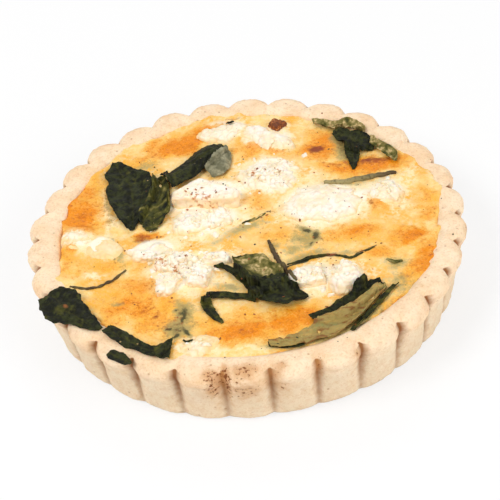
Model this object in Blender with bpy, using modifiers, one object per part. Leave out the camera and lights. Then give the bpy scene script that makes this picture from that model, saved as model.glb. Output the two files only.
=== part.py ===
"""An individual spinach quiche: a fluted shortcrust case filled with baked custard,
with lumps of white cheese sunk in the custard and wilted spinach leaves lying on it.

Frame: +Z up, -Y towards the eater, the origin in the middle of the flat underside.
"""

import math

import bmesh
import bpy
from mathutils import Matrix, Vector, noise
from mathutils.bvhtree import BVHTree

MM = 0.001

# Driving dimensions of the pastry case.
FLUTES = 30
FLUTE_TURN = 1.5  # degrees from +X to the middle of the first flute
STEPS_PER_FLUTE = 5
LIP_RADIUS = 60 * MM  # crest of a flute at the widest height
FOOT_RADIUS = 55.8 * MM  # crest of a flute where the side meets the underside
HEIGHT = 19 * MM
FLUTE_DEPTH = 3.1 * MM
LIP_DEPTH = 4.5 * MM  # height of the thicker band below the rim
BASE_THICKNESS = 3.5 * MM
CUSTARD_RADIUS = 52.6 * MM  # at the custard's surface
CUSTARD_FOOT_RADIUS = 49.5 * MM
EDGE_DROP = 1.2 * MM  # the custard's edge lies this far below the rim
DOME = 0.7 * MM  # rise of the custard towards its middle

# Clearances between pieces that touch on the real quiche.
GAP = 0.3 * MM
POCKET_GAP = 0.4 * MM
DRAPE_GAP = 0.5 * MM
LEAF_THICKNESS = 0.6 * MM

PASTRY = ("pastry", (0.86, 0.68, 0.49), 0.85)
CUSTARD = ("custard", (0.88, 0.60, 0.22), 0.45)
CHEESE = ("cheese", (0.93, 0.86, 0.70), 0.70)
SPINACH = ("spinach", (0.035, 0.045, 0.022), 0.50)
STEM = ("stem", (0.16, 0.10, 0.035), 0.65)
TOASTED = ("toasted", (0.22, 0.07, 0.02), 0.75)

# Each lump of cheese: middle (x, y), size (length, width), rise above the custard, all in mm,
# then its heading and its lean to the front in degrees.
LUMPS = {
    "cheese_block": ((-10.0, 15.5), (18.5, 10.5), 4.2, -8, 6),
    "cheese_under_block": ((-12.0, 4.2), (15.0, 7.5), 1.6, 8, 0),
    "cheese_slice": ((-4.0, 44.5), (12.0, 8.0), 1.8, 10, 0),
    "cheese_long": ((8.6, 38.8), (14.5, 5.5), 2.0, -38, 0),
    "cheese_crumbly": ((8.0, 20.5), (12.5, 12.0), 1.8, -20, 0),
    "cheese_disc": ((21.0, 5.8), (18.5, 14.0), 2.0, 6, 0),
    "cheese_right": ((40.0, 8.0), (5.0, 7.5), 1.8, -25, 0),
    "cheese_twin_left": ((14.2, -25.0), (8.4, 7.5), 2.8, 10, 0),
    "cheese_twin_right": ((23.4, -26.2), (7.2, 9.0), 3.6, 18, 0),
    "cheese_crumb_1": ((-26.5, -6.0), (9.5, 5.0), 1.4, 10, 0),
    "cheese_crumb_2": ((-20.0, -12.5), (9.0, 5.5), 2.4, -25, 0),
    "cheese_crumb_3": ((-21.5, -21.5), (7.0, 5.2), 2.6, 15, 0),
    "cheese_crumb_4": ((-14.0, -19.5), (5.8, 6.8), 2.4, -10, 0),
    "cheese_crumb_5": ((-9.0, -13.5), (6.0, 4.0), 1.6, 20, 0),
    "cheese_left_1": ((-46.2, 3.5), (7.5, 7.5), 1.0, 0, 0),
    "cheese_left_2": ((-39.5, -1.5), (6.0, 6.0), 1.0, 0, 0),
    "cheese_front": ((-16.5, -45.0), (9.0, 4.8), 1.2, 18, 0),
}
LUMP_SINK = 3.2 * MM  # how deep a lump reaches into the custard
LUMP_CUTS = 2
LUMP_SQUARENESS = 4.0  # 2 is an ellipsoid, and a high number is a box

# Each leaf: its line from stalk end to tip in mm, width in mm, then how far its two edges turn
# up (degrees, first on the left of the line) and how high its middle arches (mm).
LEAVES = {
    "leaf_broad": ([(-34.5, 33.5), (-30.5, 20), (-31, 3.5)], 13.0, 25, 10, 0.6),
    "leaf_folded": ([(-23.0, 25.5), (-22.6, 14), (-26, 2.5)], 5.6, 35, 20, 0.4),
    "leaf_rolled": ([(-21.5, 18.5), (-15, 26.5), (-3.5, 31.5)], 8.0, -55, -55, 0.8),
    "leaf_back_dark": ([(27.0, 36.5), (33, 33.5), (38.5, 27.5)], 8.0, 20, 30, 0.8),
    "leaf_back_strip": ([(21.5, 44.5), (29.5, 42.0), (37.5, 36.2)], 4.0, 30, 45, 0.5),
    "leaf_back_tail": ([(34.0, 30.0), (31.5, 26), (31, 20.5)], 3.6, 20, 20, 0.2),
    "leaf_back_flap": ([(37.5, 31.5), (42, 28.5), (44, 21.5)], 4.6, 30, 25, 0.4),
    "leaf_cup": ([(-5.5, -14.5), (1, -20.5), (8, -22.0)], 8.6, 45, 10, 0.2),
    "leaf_cup_lip": ([(-1.5, -27.5), (5.5, -31.5), (13.6, -31.0)], 7.0, 15, 70, 0.2),
    "leaf_sliver": ([(-10.5, -16.5), (-5, -20), (-1, -26.0)], 2.4, 30, 30, 0.2),
    "leaf_band": ([(-12.0, -26.5), (-7, -28), (-1.5, -29.0)], 3.2, 30, 40, 0.2),
    "leaf_hook": ([(-13.2, -28.0), (-12, -32), (-8.5, -37.0)], 3.6, 35, 25, 0.2),
    "leaf_front": ([(12.0, -38.6), (22, -34.6), (33, -27.6)], 5.6, 30, 20, 0.5),
    "leaf_front_far": ([(36.0, -29.0), (28, -38), (22, -45.6)], 2.2, 30, 30, 0.1),
    "leaf_front_near": ([(1.8, -48.0), (9, -48.6), (21, -46.0)], 2.0, 20, 20, 0.0),
    "leaf_rim": ([(-49.0, -17.5), (-50.5, -26.0), (-42, -35.0)], 10.0, 20, 15, 0.4),
    "leaf_edge": ([(-39.0, -35.0), (-33, -43.0), (-21, -44.0)], 7.0, 30, 30, 0.5),
    "leaf_flake": ([(-38.8, -43.5), (-36.2, -45.4), (-33.0, -46.6)], 3.2, 20, 10, 0.0),
}
LEAF_LONG_STEPS = 6
LEAF_CROSS_STEPS = 4
LEAF_END_WIDTH = 0.22  # width of a leaf's blunt ends, as a share of its widest

# Each stem: its line in mm and its diameter in mm.
STEMS = {
    "stem_left": ([(-47.5, -16.3), (-41, -17.0), (-34, -12.0)], 0.9),
    "stem_cup": ([(5.0, -9.0), (7.0, -15.0), (10.3, -25.5)], 1.1),
    "stem_back": ([(22.5, 15.2), (31, 15.4), (42.5, 16.0)], 1.7),
}
STEM_STEPS = 7
STEM_LIFT = 0.4 * MM

FLAKE_MIDDLE = (12.6, 45.2)
FLAKE_SIZE = (5.6, 2.6)
FLAKE_RISE = 1.6


def clear_scene():
    for thing in list(bpy.data.objects):
        bpy.data.objects.remove(thing, do_unlink=True)


def new_collection(name, hidden=False):
    made = bpy.data.collections.new(name)
    bpy.context.scene.collection.children.link(made)
    made.hide_render = hidden
    return made


def material(name, colour, roughness):
    """A Principled material, made once for each kind of food."""
    found = bpy.data.materials.get(name)
    if found:
        return found
    made = bpy.data.materials.new(name)
    made.use_nodes = True
    shader = made.node_tree.nodes["Principled BSDF"]
    shader.inputs["Base Color"].default_value = (*colour, 1.0)
    shader.inputs["Roughness"].default_value = roughness
    shader.inputs["Metallic"].default_value = 0.0
    return made


def place(name, mesh, collection, food):
    thing = bpy.data.objects.new(name, mesh)
    collection.objects.link(thing)
    mesh.materials.clear()
    mesh.materials.append(material(*food))
    mesh.shade_smooth()
    mesh.set_sharp_from_angle(angle=math.radians(50))
    return thing


def turned(name, profile, steps):
    """The mesh of a profile of (radius, height) points turned round the Z axis."""
    outline = bpy.data.meshes.new(name)
    points = [(radius, 0.0, height) for radius, height in profile]
    outline.from_pydata(points, [(i, i + 1) for i in range(len(points) - 1)], [])
    guide = bpy.data.objects.new(name + "_profile", outline)
    bpy.context.scene.collection.objects.link(guide)
    screw = guide.modifiers.new("Screw", "SCREW")
    screw.steps = screw.render_steps = steps
    screw.use_merge_vertices = True
    screw.merge_threshold = 0.0001
    graph = bpy.context.evaluated_depsgraph_get()
    mesh = bpy.data.meshes.new_from_object(guide.evaluated_get(graph))
    mesh.name = name
    bpy.data.objects.remove(guide)
    return mesh


def flute_drop(angle):
    """How far the side lies inside a flute's crest: rounded flutes that meet in sharp grooves."""
    pitch = 2 * math.pi / FLUTES
    phase = (angle - math.radians(FLUTE_TURN)) / pitch
    off_crest = abs(phase - round(phase)) * 2
    return FLUTE_DEPTH * off_crest**2.3


def unevenness(angle, height):
    """A slow change of the case's radius, as in pastry pressed in by hand."""
    round_case = Vector((1.6 * math.cos(angle), 1.6 * math.sin(angle), 12 * height))
    return 0.9 * MM * noise.noise(round_case)


def make_crust(collection):
    inner_top = CUSTARD_RADIUS + GAP
    inner_foot = CUSTARD_FOOT_RADIUS + GAP
    edge_height = HEIGHT - EDGE_DROP
    lip_foot = HEIGHT - LIP_DEPTH
    profile = [
        (0.0, BASE_THICKNESS),
        (inner_foot, BASE_THICKNESS),
        (inner_top, edge_height - 0.3 * MM),
        (inner_top + 1.4 * MM, HEIGHT - 0.1 * MM),
        (LIP_RADIUS - 1.6 * MM, HEIGHT - 0.2 * MM),
        (LIP_RADIUS, HEIGHT - 2.0 * MM),
        (LIP_RADIUS - 0.9 * MM, lip_foot),
        (FOOT_RADIUS, 0.9 * MM),
        (FOOT_RADIUS - 1.6 * MM, 0.0),
        (0.0, 0.0),
    ]
    mesh = turned("crust", profile, FLUTES * STEPS_PER_FLUTE)
    outer_from = inner_top + 0.9 * MM
    for vertex in mesh.vertices:
        x, y, height = vertex.co
        radius = math.hypot(x, y)
        if radius < outer_from:
            continue
        angle = math.atan2(y, x)
        share = min(1.0, (radius - outer_from) / (1.8 * MM))
        moved = radius - share * flute_drop(angle) + share * unevenness(angle, height)
        vertex.co.x *= moved / radius
        vertex.co.y *= moved / radius
    return place("crust", mesh, collection, PASTRY)


def custard_height(x, y):
    """Height of the baked custard: a low dome with soft lumps, level at its edge."""
    share = min(1.0, math.hypot(x, y) / CUSTARD_RADIUS)
    lumps = noise.noise(Vector((x * 45, y * 45, 3.7)))
    return HEIGHT - EDGE_DROP + (1 - share**2) * (DOME + 1.1 * MM * lumps)


def make_custard(collection):
    rings = 6
    top_rings = [(CUSTARD_RADIUS * i / rings, HEIGHT - EDGE_DROP) for i in range(rings)]
    edge = HEIGHT - EDGE_DROP
    profile = [
        *top_rings,
        (CUSTARD_RADIUS - 0.3 * MM, edge),
        (CUSTARD_RADIUS - 0.05 * MM, edge - 0.6 * MM),
        (CUSTARD_FOOT_RADIUS, BASE_THICKNESS + GAP),
        (0.0, BASE_THICKNESS + GAP),
    ]
    mesh = turned("custard", profile, 40)
    for vertex in mesh.vertices:
        if vertex.co.z > edge - 0.01 * MM:
            vertex.co.z = custard_height(vertex.co.x, vertex.co.y)
    return place("custard", mesh, collection, CUSTARD)


def lump_mesh(name, spec, grow=0.0):
    """An uneven, rounded block: a cut-up cube drawn towards a superellipsoid."""
    (x, y), (length, width), rise, heading, lean = spec
    rise = rise * MM
    half = Vector((length * MM / 2, width * MM / 2, (rise + LUMP_SINK) / 2))
    shape = bmesh.new()
    bmesh.ops.create_cube(shape, size=2.0)
    bmesh.ops.subdivide_edges(
        shape, edges=shape.edges[:], cuts=LUMP_CUTS, use_grid_fill=True
    )
    for vertex in shape.verts:
        power = sum(abs(c) ** LUMP_SQUARENESS for c in vertex.co)
        vertex.co /= power ** (1 / LUMP_SQUARENESS)
        rough = noise.noise(vertex.co * 1.3 + Vector((x, y, 0)))
        vertex.co *= 1 + 0.16 * rough
        vertex.co = Vector((c * (h + grow) for c, h in zip(vertex.co, half)))
    turn = Matrix.Rotation(math.radians(heading), 4, "Z")
    tip = Matrix.Rotation(math.radians(lean), 4, "X")
    middle = Vector((x * MM, y * MM, 0))
    middle.z = custard_height(middle.x, middle.y) + (rise - LUMP_SINK) / 2
    bmesh.ops.transform(shape, matrix=Matrix.Translation(middle) @ turn @ tip, verts=shape.verts)
    # The lump and its pocket are split along the same diagonals, which keeps their gap even.
    bmesh.ops.triangulate(shape, faces=shape.faces[:], quad_method="FIXED")
    mesh = bpy.data.meshes.new(name)
    shape.to_mesh(mesh)
    shape.free()
    return mesh


def make_lump(name, spec, food, collection, cutters, custard):
    """A lump of cheese, and the pocket that it sits in."""
    lump = place(name, lump_mesh(name, spec), collection, food)
    cutter = bpy.data.objects.new(
        name + "_pocket", lump_mesh(name + "_pocket", spec, POCKET_GAP)
    )
    cutters.objects.link(cutter)
    cutter.hide_render = True
    cutter.display_type = "WIRE"
    pocket = custard.modifiers.new("Pocket for " + name, "BOOLEAN")
    pocket.operation = "DIFFERENCE"
    pocket.solver = "EXACT"
    pocket.object = cutter
    return lump


class Bed:
    """What lies under a leaf: it gives the highest surface near a point."""

    def __init__(self):
        self.trees = []

    def add(self, thing):
        bpy.context.view_layer.update()
        graph = bpy.context.evaluated_depsgraph_get()
        self.trees.append(BVHTree.FromObject(thing, graph))

    def height(self, x, y, reach):
        """The highest surface within reach of (x, y)."""
        found = []
        down = Vector((0, 0, -1))
        spots = [(0.0, 0.0)]
        for share in (0.5, 1.0):
            for step in range(8):
                turn = step * math.pi / 4
                spots.append((share * reach * math.cos(turn), share * reach * math.sin(turn)))
        for dx, dy in spots:
            start = Vector((x + dx, y + dy, 3 * HEIGHT))
            for tree in self.trees:
                hit = tree.ray_cast(start, down)[0]
                if hit is not None:
                    found.append(hit.z)
        return max(found, default=HEIGHT)


def along(line, share):
    """The point and the direction at a share of the way along a bent line of three points."""
    start, bend, end = (Vector(point) * MM for point in line)
    point = start * (1 - share) ** 2 + bend * 2 * share * (1 - share) + end * share**2
    direction = (bend - start) * (1 - share) + (end - bend) * share
    return point, direction.normalized()


def through(line):
    """The line as three control points, so that the curve passes through the middle one."""
    start, middle, end = (Vector(point) for point in line)
    return start, 2 * middle - (start + end) / 2, end


def leaf_half_width(share, width):
    full = math.sin(math.pi * share**0.85) ** 0.75 if 0 < share < 1 else 0.0
    return width * MM / 2 * (LEAF_END_WIDTH + (1 - LEAF_END_WIDTH) * full)


def make_leaf(name, spec, collection, bed):
    """A thin wilted leaf: a grid bent along its line, its edges turned, draped over what is below."""
    line, width, turn_left, turn_right, arch = spec
    line = through(line)
    bpy.ops.mesh.primitive_grid_add(
        x_subdivisions=LEAF_LONG_STEPS, y_subdivisions=LEAF_CROSS_STEPS, size=2
    )
    leaf = bpy.context.object
    leaf.name = leaf.data.name = name
    for vertex in leaf.data.vertices:
        share = (vertex.co.x + 1) / 2
        side = vertex.co.y
        point, direction = along(line, share)
        across = Vector((-direction.y, direction.x))
        half = leaf_half_width(share, width)
        turn = math.radians(turn_left if side > 0 else turn_right) * abs(side)
        if abs(turn) < 1e-4:
            out, up = abs(side) * half, 0.0
        else:
            bend = half * abs(side) / turn
            out, up = bend * math.sin(turn), bend * (1 - math.cos(turn))
        edge_drop = max(0.0, -up)
        middle_rise = 0.0
        if min(turn_left, turn_right) < 0:
            full = math.radians(-min(turn_left, turn_right))
            middle_rise = half / full * (1 - math.cos(full))
        plan = point + across * math.copysign(out, side)
        rise = arch * MM * math.sin(math.pi * share) + middle_rise - edge_drop + max(0.0, up)
        reach = 1.9 * MM
        ground = bed.height(plan.x, plan.y, reach)
        vertex.co = Vector((plan.x, plan.y, ground + DRAPE_GAP + rise))
    if sum(face.normal.z for face in leaf.data.polygons) < 0:
        leaf.data.flip_normals()
    for home in list(leaf.users_collection):
        home.objects.unlink(leaf)
    collection.objects.link(leaf)
    leaf.data.materials.append(material(*SPINACH))
    leaf.data.shade_smooth()
    shell = leaf.modifiers.new("Blade", "SOLIDIFY")
    shell.thickness = LEAF_THICKNESS
    shell.offset = 1.0
    bed.add(leaf)
    return leaf


def make_stem(name, spec, collection, bed):
    """A thin round stalk that lies on what is below it."""
    line, diameter = spec
    line = through(line)
    radius = diameter * MM / 2
    curve = bpy.data.curves.new(name, "CURVE")
    curve.dimensions = "3D"
    curve.bevel_depth = radius
    curve.bevel_resolution = 1
    curve.use_fill_caps = True
    spline = curve.splines.new("POLY")
    spline.points.add(STEM_STEPS)
    for step, knot in enumerate(spline.points):
        share = step / STEM_STEPS
        point, _ = along(line, share)
        height = bed.height(point.x, point.y, 2 * radius + 0.6 * MM) + radius + STEM_LIFT
        knot.co = (point.x, point.y, height, 1.0)
        knot.radius = 1.0 - 0.35 * share
    stem = bpy.data.objects.new(name, curve)
    collection.objects.link(stem)
    curve.materials.append(material(*STEM))
    bed.add(stem)
    return stem


def main():
    clear_scene()
    quiche = new_collection("spinach_quiche")
    cutters = new_collection("cutters", hidden=True)
    crust = make_crust(quiche)
    custard = make_custard(quiche)
    lumps = [
        make_lump(name, spec, CHEESE, quiche, cutters, custard)
        for name, spec in LUMPS.items()
    ]
    flake = (FLAKE_MIDDLE, FLAKE_SIZE, FLAKE_RISE, -35, 0)
    lumps.append(make_lump("toasted_flake", flake, TOASTED, quiche, cutters, custard))
    bed = Bed()
    for thing in (crust, custard, *lumps):
        bed.add(thing)
    for name, spec in LEAVES.items():
        make_leaf(name, spec, quiche, bed)
    for name, spec in STEMS.items():
        make_stem(name, spec, quiche, bed)


main()
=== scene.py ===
# %% [markdown]
# # A spinach quiche
# This lesson dresses a small baked quiche: a fluted shortcrust case, a browned egg custard,
# lumps of white cheese, and wilted spinach. The plain solids already exist, so every piece
# made here takes its place from one of them.

# %% Load the plain solids
import math

import bpy
import numpy as np
from mathutils import Matrix, Vector, noise
from mathutils.bvhtree import BVHTree


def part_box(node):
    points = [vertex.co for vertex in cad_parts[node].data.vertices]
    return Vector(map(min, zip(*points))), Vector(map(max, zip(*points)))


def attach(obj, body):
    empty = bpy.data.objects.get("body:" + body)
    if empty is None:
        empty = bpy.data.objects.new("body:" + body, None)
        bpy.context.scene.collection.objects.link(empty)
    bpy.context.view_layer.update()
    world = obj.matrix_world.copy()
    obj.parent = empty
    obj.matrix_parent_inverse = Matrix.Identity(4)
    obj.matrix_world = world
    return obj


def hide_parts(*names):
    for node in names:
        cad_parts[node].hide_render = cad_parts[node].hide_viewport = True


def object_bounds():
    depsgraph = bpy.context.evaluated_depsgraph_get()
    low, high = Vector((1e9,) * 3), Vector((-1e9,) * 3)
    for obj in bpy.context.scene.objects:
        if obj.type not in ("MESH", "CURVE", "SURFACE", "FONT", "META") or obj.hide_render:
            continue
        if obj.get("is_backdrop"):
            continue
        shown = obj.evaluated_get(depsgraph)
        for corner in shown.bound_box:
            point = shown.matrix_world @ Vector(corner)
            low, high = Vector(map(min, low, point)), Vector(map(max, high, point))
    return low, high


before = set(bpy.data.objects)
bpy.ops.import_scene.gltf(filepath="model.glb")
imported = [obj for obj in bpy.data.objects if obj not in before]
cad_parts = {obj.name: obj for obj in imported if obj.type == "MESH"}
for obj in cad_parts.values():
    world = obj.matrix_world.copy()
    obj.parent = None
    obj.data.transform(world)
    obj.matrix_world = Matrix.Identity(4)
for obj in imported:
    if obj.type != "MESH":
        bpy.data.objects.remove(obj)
solid_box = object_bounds()

MM = 0.001
case_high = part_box("crust")[1]
RIM_HEIGHT = case_high.z
LIP_RADIUS = 60 * MM
custard_low, custard_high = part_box("custard")
CUSTARD_RADIUS = custard_high.x
print("case height", round(RIM_HEIGHT / MM, 1), "mm; custard radius", round(CUSTARD_RADIUS / MM, 1))

# %% [markdown]
# ## Small helpers
# Each operator acts on everything that is selected, so one helper clears the selection.
# Baked food is uneven at several sizes at once, so another helper gives smooth noise for many
# points, and a third gives a soft-edged oval spot.


# %% Helpers for selecting, noise and spots
def select_only(thing):
    """Leaves edit mode if need be, and makes one object the only selected one."""
    if bpy.context.object and bpy.context.object.mode != "OBJECT":
        bpy.ops.object.mode_set(mode="OBJECT")
    bpy.ops.object.select_all(action="DESELECT")
    if thing:
        thing.select_set(True)
        bpy.context.view_layer.objects.active = thing


def points_of(mesh):
    """The mesh's vertices as an array of rows x, y, z in metres."""
    flat = np.empty(len(mesh.vertices) * 3)
    mesh.vertices.foreach_get("co", flat)
    return flat.reshape(-1, 3)


def set_points(mesh, points):
    """Moves the mesh's vertices to the rows of the array."""
    mesh.vertices.foreach_set("co", points.ravel())
    mesh.update()


def normals_of(mesh):
    """The direction each vertex faces, as rows x, y, z."""
    flat = np.empty(len(mesh.vertices) * 3, dtype=np.float32)
    mesh.vertex_normals.foreach_get("vector", flat)
    return flat.reshape(-1, 3).astype(float)


def rough(points, size, seed=0.0):
    """Smooth noise from about -0.7 to 0.7; its lumps are about size metres across."""
    shift = Vector((seed, 1.7 * seed, -0.6 * seed))
    return np.array([noise.noise(Vector(p) + shift) for p in points / size])


def layered(points, size, seed=0.0, layers=3):
    """Noise with finer and weaker noise on top of it."""
    total = np.zeros(len(points))
    for layer in range(layers):
        total += rough(points, size / 2**layer, seed + 9 * layer) / 2**layer
    return total


def spot(x, y, middle_x, middle_y, half_x, half_y, turn=0.0):
    """A soft oval, 1 in its middle and 0 outside: sizes in mm, turn in degrees."""
    angle = math.radians(turn)
    right = (x / MM - middle_x) * math.cos(angle) + (y / MM - middle_y) * math.sin(angle)
    back = (y / MM - middle_y) * math.cos(angle) - (x / MM - middle_x) * math.sin(angle)
    return np.exp(-((right / half_x) ** 2 + (back / half_y) ** 2))


def keep_attributes(mesh, **masks):
    """Stores numbers from 0 to 1 on the vertices, which a material reads by their name."""
    for name, values in masks.items():
        layer = mesh.attributes.new(name, "FLOAT", "POINT")
        layer.data.foreach_set("value", np.clip(values, 0, 1).astype(np.float32))


select_only(None)
print("helpers ready")

# %% [markdown]
# ## Camera, floor and light
# A quiche is looked at from above and in front, the way it sits before someone at a table.
# The lamps are large, so shadows are soft, and one from the left and front is the strongest.
# The floor is partly a plain white light to the camera, which keeps it pale but still lets
# the quiche's own shadow show.

# %% Camera
VIEW_HEIGHT = 39.5
VIEW_ROLL = -6.6
VIEW_DISTANCE = 0.48
LENS = 126.0


def camera_place(elevation, roll, distance, target):
    """A camera's matrix: it looks at the target from the front, from above, slightly rolled."""
    up_angle = math.radians(elevation)
    turn = math.radians(roll)
    back = Vector((0, -math.cos(up_angle), math.sin(up_angle)))
    right = Vector((1, 0, 0))
    up = Vector((0, math.sin(up_angle), math.cos(up_angle)))
    level_right = right * math.cos(turn) + up * math.sin(turn)
    level_up = up * math.cos(turn) - right * math.sin(turn)
    turned = Matrix((level_right, level_up, back)).transposed().to_4x4()
    return Matrix.Translation(target + back * distance) @ turned


camera_data = bpy.data.cameras.new("camera")
camera_data.lens = LENS
camera_data.sensor_width = 36
camera_data.clip_start = 0.01
camera = bpy.data.objects.new("camera", camera_data)
bpy.context.scene.collection.objects.link(camera)
target = Vector((0, 0, RIM_HEIGHT * 0.5))
camera.matrix_world = camera_place(VIEW_HEIGHT, VIEW_ROLL, VIEW_DISTANCE, target)
bpy.context.scene.camera = camera
bpy.context.scene.view_settings.view_transform = "Standard"
print("camera at", [round(c, 3) for c in camera.matrix_world.translation])

# %% Lamps
LAMPS = {
    # name: (place in metres, size in metres, power in watts)
    "key_lamp": ((-0.62, -0.30, 0.80), 0.50, 5.7),
    "fill_lamp": ((0.70, -0.60, 0.55), 0.80, 5.6),
    "back_lamp": ((0.05, 0.80, 0.65), 0.70, 2.2),
}
for name, (place, size, power) in LAMPS.items():
    light = bpy.data.lights.new(name, "AREA")
    light.shape = "DISK"
    light.size = size
    light.energy = power
    lamp = bpy.data.objects.new(name, light)
    bpy.context.scene.collection.objects.link(lamp)
    lamp.location = place
    aim = target - Vector(place)
    lamp.rotation_euler = aim.to_track_quat("-Z", "Y").to_euler()

SKY = 0.42
world = bpy.data.worlds.new("studio")
bpy.context.scene.world = world
world.use_nodes = True
sky = world.node_tree
sky.nodes.clear()
seen = sky.nodes.new("ShaderNodeLightPath")
soft = sky.nodes.new("ShaderNodeBackground")
soft.inputs["Strength"].default_value = SKY
white = sky.nodes.new("ShaderNodeBackground")
white.inputs["Strength"].default_value = 1.0
for plain in (soft, white):
    plain.inputs["Color"].default_value = (1, 1, 1, 1)
either = sky.nodes.new("ShaderNodeMixShader")
ending = sky.nodes.new("ShaderNodeOutputWorld")
sky.links.new(seen.outputs["Is Camera Ray"], either.inputs[0])
sky.links.new(soft.outputs[0], either.inputs[1])
sky.links.new(white.outputs[0], either.inputs[2])
sky.links.new(either.outputs[0], ending.inputs[0])
print(len(LAMPS), "lamps and a white sky of strength", SKY)

# %% [markdown]
# ## A short way to write materials
# A material is sums on colours and numbers. The class below wraps one output socket, so that
# `1 - mask * 2` adds the Math nodes by itself. A second class holds one material, with a single
# method for every other kind of node.


# %% Sums on sockets
class Wire:
    """An output socket that can be used in a sum."""

    def __init__(self, finish, socket):
        self.finish = finish
        self.socket = socket

    def math(self, operation, first, second=0.0, clamp=False):
        settings = {"operation": operation, "use_clamp": clamp}
        return self.finish.add("Math", settings, {0: first, 1: second})

    def __add__(self, other):
        return self.math("ADD", self, other)

    def __radd__(self, other):
        return self.math("ADD", other, self)

    def __sub__(self, other):
        return self.math("SUBTRACT", self, other)

    def __rsub__(self, other):
        return self.math("SUBTRACT", other, self)

    def __mul__(self, other):
        return self.math("MULTIPLY", self, other)

    def __rmul__(self, other):
        return self.math("MULTIPLY", other, self)

    def above(self, edge, softness):
        """0 below the edge and 1 above it, with a ramp as wide as softness between."""
        return self.math("MULTIPLY", self - edge, 1 / softness, clamp=True)

    def clamped(self):
        return self.math("ADD", self, 0.0, clamp=True)


print("sums work on sockets")


# %% One material
class Finish:
    """One material while its nodes are being added."""

    def __init__(self, name):
        self.material = bpy.data.materials.new(name)
        self.material.use_nodes = True
        self.tree = self.material.node_tree
        self.shader = self.tree.nodes["Principled BSDF"]
        self.place = self.add("TexCoord", output="Object")

    def add(self, kind, settings=None, inputs=None, output=0):
        """Adds a node: its settings first, then the values or wires of its inputs."""
        node = self.tree.nodes.new("ShaderNode" + kind)
        for key, value in (settings or {}).items():
            setattr(node, key, value)
        for key, value in (inputs or {}).items():
            self.feed(node.inputs[key], value)
        return Wire(self, node.outputs[output])

    def feed(self, socket, value):
        if isinstance(value, Wire):
            self.tree.links.new(value.socket, socket)
        else:
            socket.default_value = value

    def noise(self, size, detail=2.0, place=None):
        """Noise of lumps about size metres across, from 0 to 1."""
        inputs = {"Vector": place or self.place, "Scale": 1 / size, "Detail": detail}
        return self.add("TexNoise", None, inputs)

    def noises(self, *kinds):
        """One noise for each pair of lump size in mm and detail."""
        return [self.noise(size * MM, detail) for size, detail in kinds]

    def flecks(self, spacing, share, radius):
        """Round flecks: cells of that spacing, of which a share hold one of that radius."""
        inputs = {"Vector": self.place, "Scale": 1 / spacing}
        near = self.add("TexVoronoi", None, inputs, "Distance")
        chance = self.add("TexVoronoi", None, inputs, "Color")
        pick = self.add("SeparateColor", None, {0: chance}, 0)
        chosen = pick.math("LESS_THAN", pick, share)
        return chosen * (radius / spacing - near).above(0.0, 0.12)

    def attribute(self, name):
        return self.add("Attribute", {"attribute_name": name}, None, "Fac")

    def coats(self, base, *coats):
        """A base colour with further colours over it, each where its mask is near 1."""
        tint = colour(*base)
        for mask, over in coats:
            settings = {"data_type": "RGBA", "clamp_factor": True}
            tint = self.add("Mix", settings, {0: mask, 6: tint, 7: colour(*over)}, 2)
        return tint

    def bump(self, height, strength, distance):
        inputs = {"Height": height, "Strength": strength, "Distance": distance}
        return self.add("Bump", None, inputs)

    def done(self, tint, roughness, normal=None, **constant):
        """Joins the colour, the roughness and the normal to the shader."""
        self.feed(self.shader.inputs["Base Color"], tint)
        self.feed(self.shader.inputs["Roughness"], roughness)
        if normal:
            self.feed(self.shader.inputs["Normal"], normal)
        for name, value in constant.items():
            self.shader.inputs[name.replace("_", " ")].default_value = value
        return self.material


def colour(red, green, blue):
    """A colour from its 0 to 255 screen values, as the shader needs it."""
    linear = [((c / 255 + 0.055) / 1.055) ** 2.4 for c in (red, green, blue)]
    return (*linear, 1.0)


print("material tools ready")

# %% [markdown]
# ### The floor
# A plain white sheet. What the camera sees of it is mostly an even white, and a smaller part
# is real reflected light, in which the shadow shows.

# %% Floor
FLOOR_SIZE = 4.0
FLOOR_GLOW = 0.72

bpy.ops.mesh.primitive_plane_add(size=FLOOR_SIZE, location=(0, 0, -0.05 * MM))
floor = bpy.context.object
floor.name = "floor"
paper = Finish("floor_white")
paper.shader.inputs["Base Color"].default_value = (0.9, 0.9, 0.9, 1)
paper.shader.inputs["Roughness"].default_value = 0.9
glow = paper.tree.nodes.new("ShaderNodeEmission")
rays = paper.tree.nodes.new("ShaderNodeLightPath")
shown = Wire(paper, rays.outputs["Is Camera Ray"]) + Wire(paper, rays.outputs["Is Glossy Ray"])
shown = (shown + Wire(paper, rays.outputs["Is Transmission Ray"])).clamped()
blend = paper.tree.nodes.new("ShaderNodeMixShader")
paper.feed(blend.inputs[0], shown * FLOOR_GLOW)
paper.tree.links.new(paper.shader.outputs[0], blend.inputs[1])
paper.tree.links.new(glow.outputs[0], blend.inputs[2])
ending = paper.tree.nodes["Material Output"]
paper.tree.links.new(blend.outputs[0], ending.inputs["Surface"])
floor.data.materials.append(paper.material)
floor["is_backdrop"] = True
print("floor", FLOOR_SIZE, "m wide")


# %% [markdown]
# ## Finishing a piece
# Every piece ends in the same way: it gets its material and smooth shading, it stands for one
# of the plain solids, and it is joined to the body that carries it.


# %% Finishing
def finish_piece(piece, material, slot, *nodes):
    select_only(piece)
    bpy.ops.object.shade_smooth()
    piece.data.materials.clear()
    piece.data.materials.append(material)
    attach(piece, "root")
    if nodes:
        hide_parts(*nodes)
    return piece


def apply_modifier(piece, kind, **settings):
    """Adds a modifier with its settings and makes its result the mesh."""
    select_only(piece)
    added = piece.modifiers.new(kind.title(), kind)
    for key, value in settings.items():
        setattr(added, key, value)
    bpy.ops.object.modifier_apply(modifier=added.name)


def faces_of(piece):
    return len(piece.data.polygons)


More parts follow.
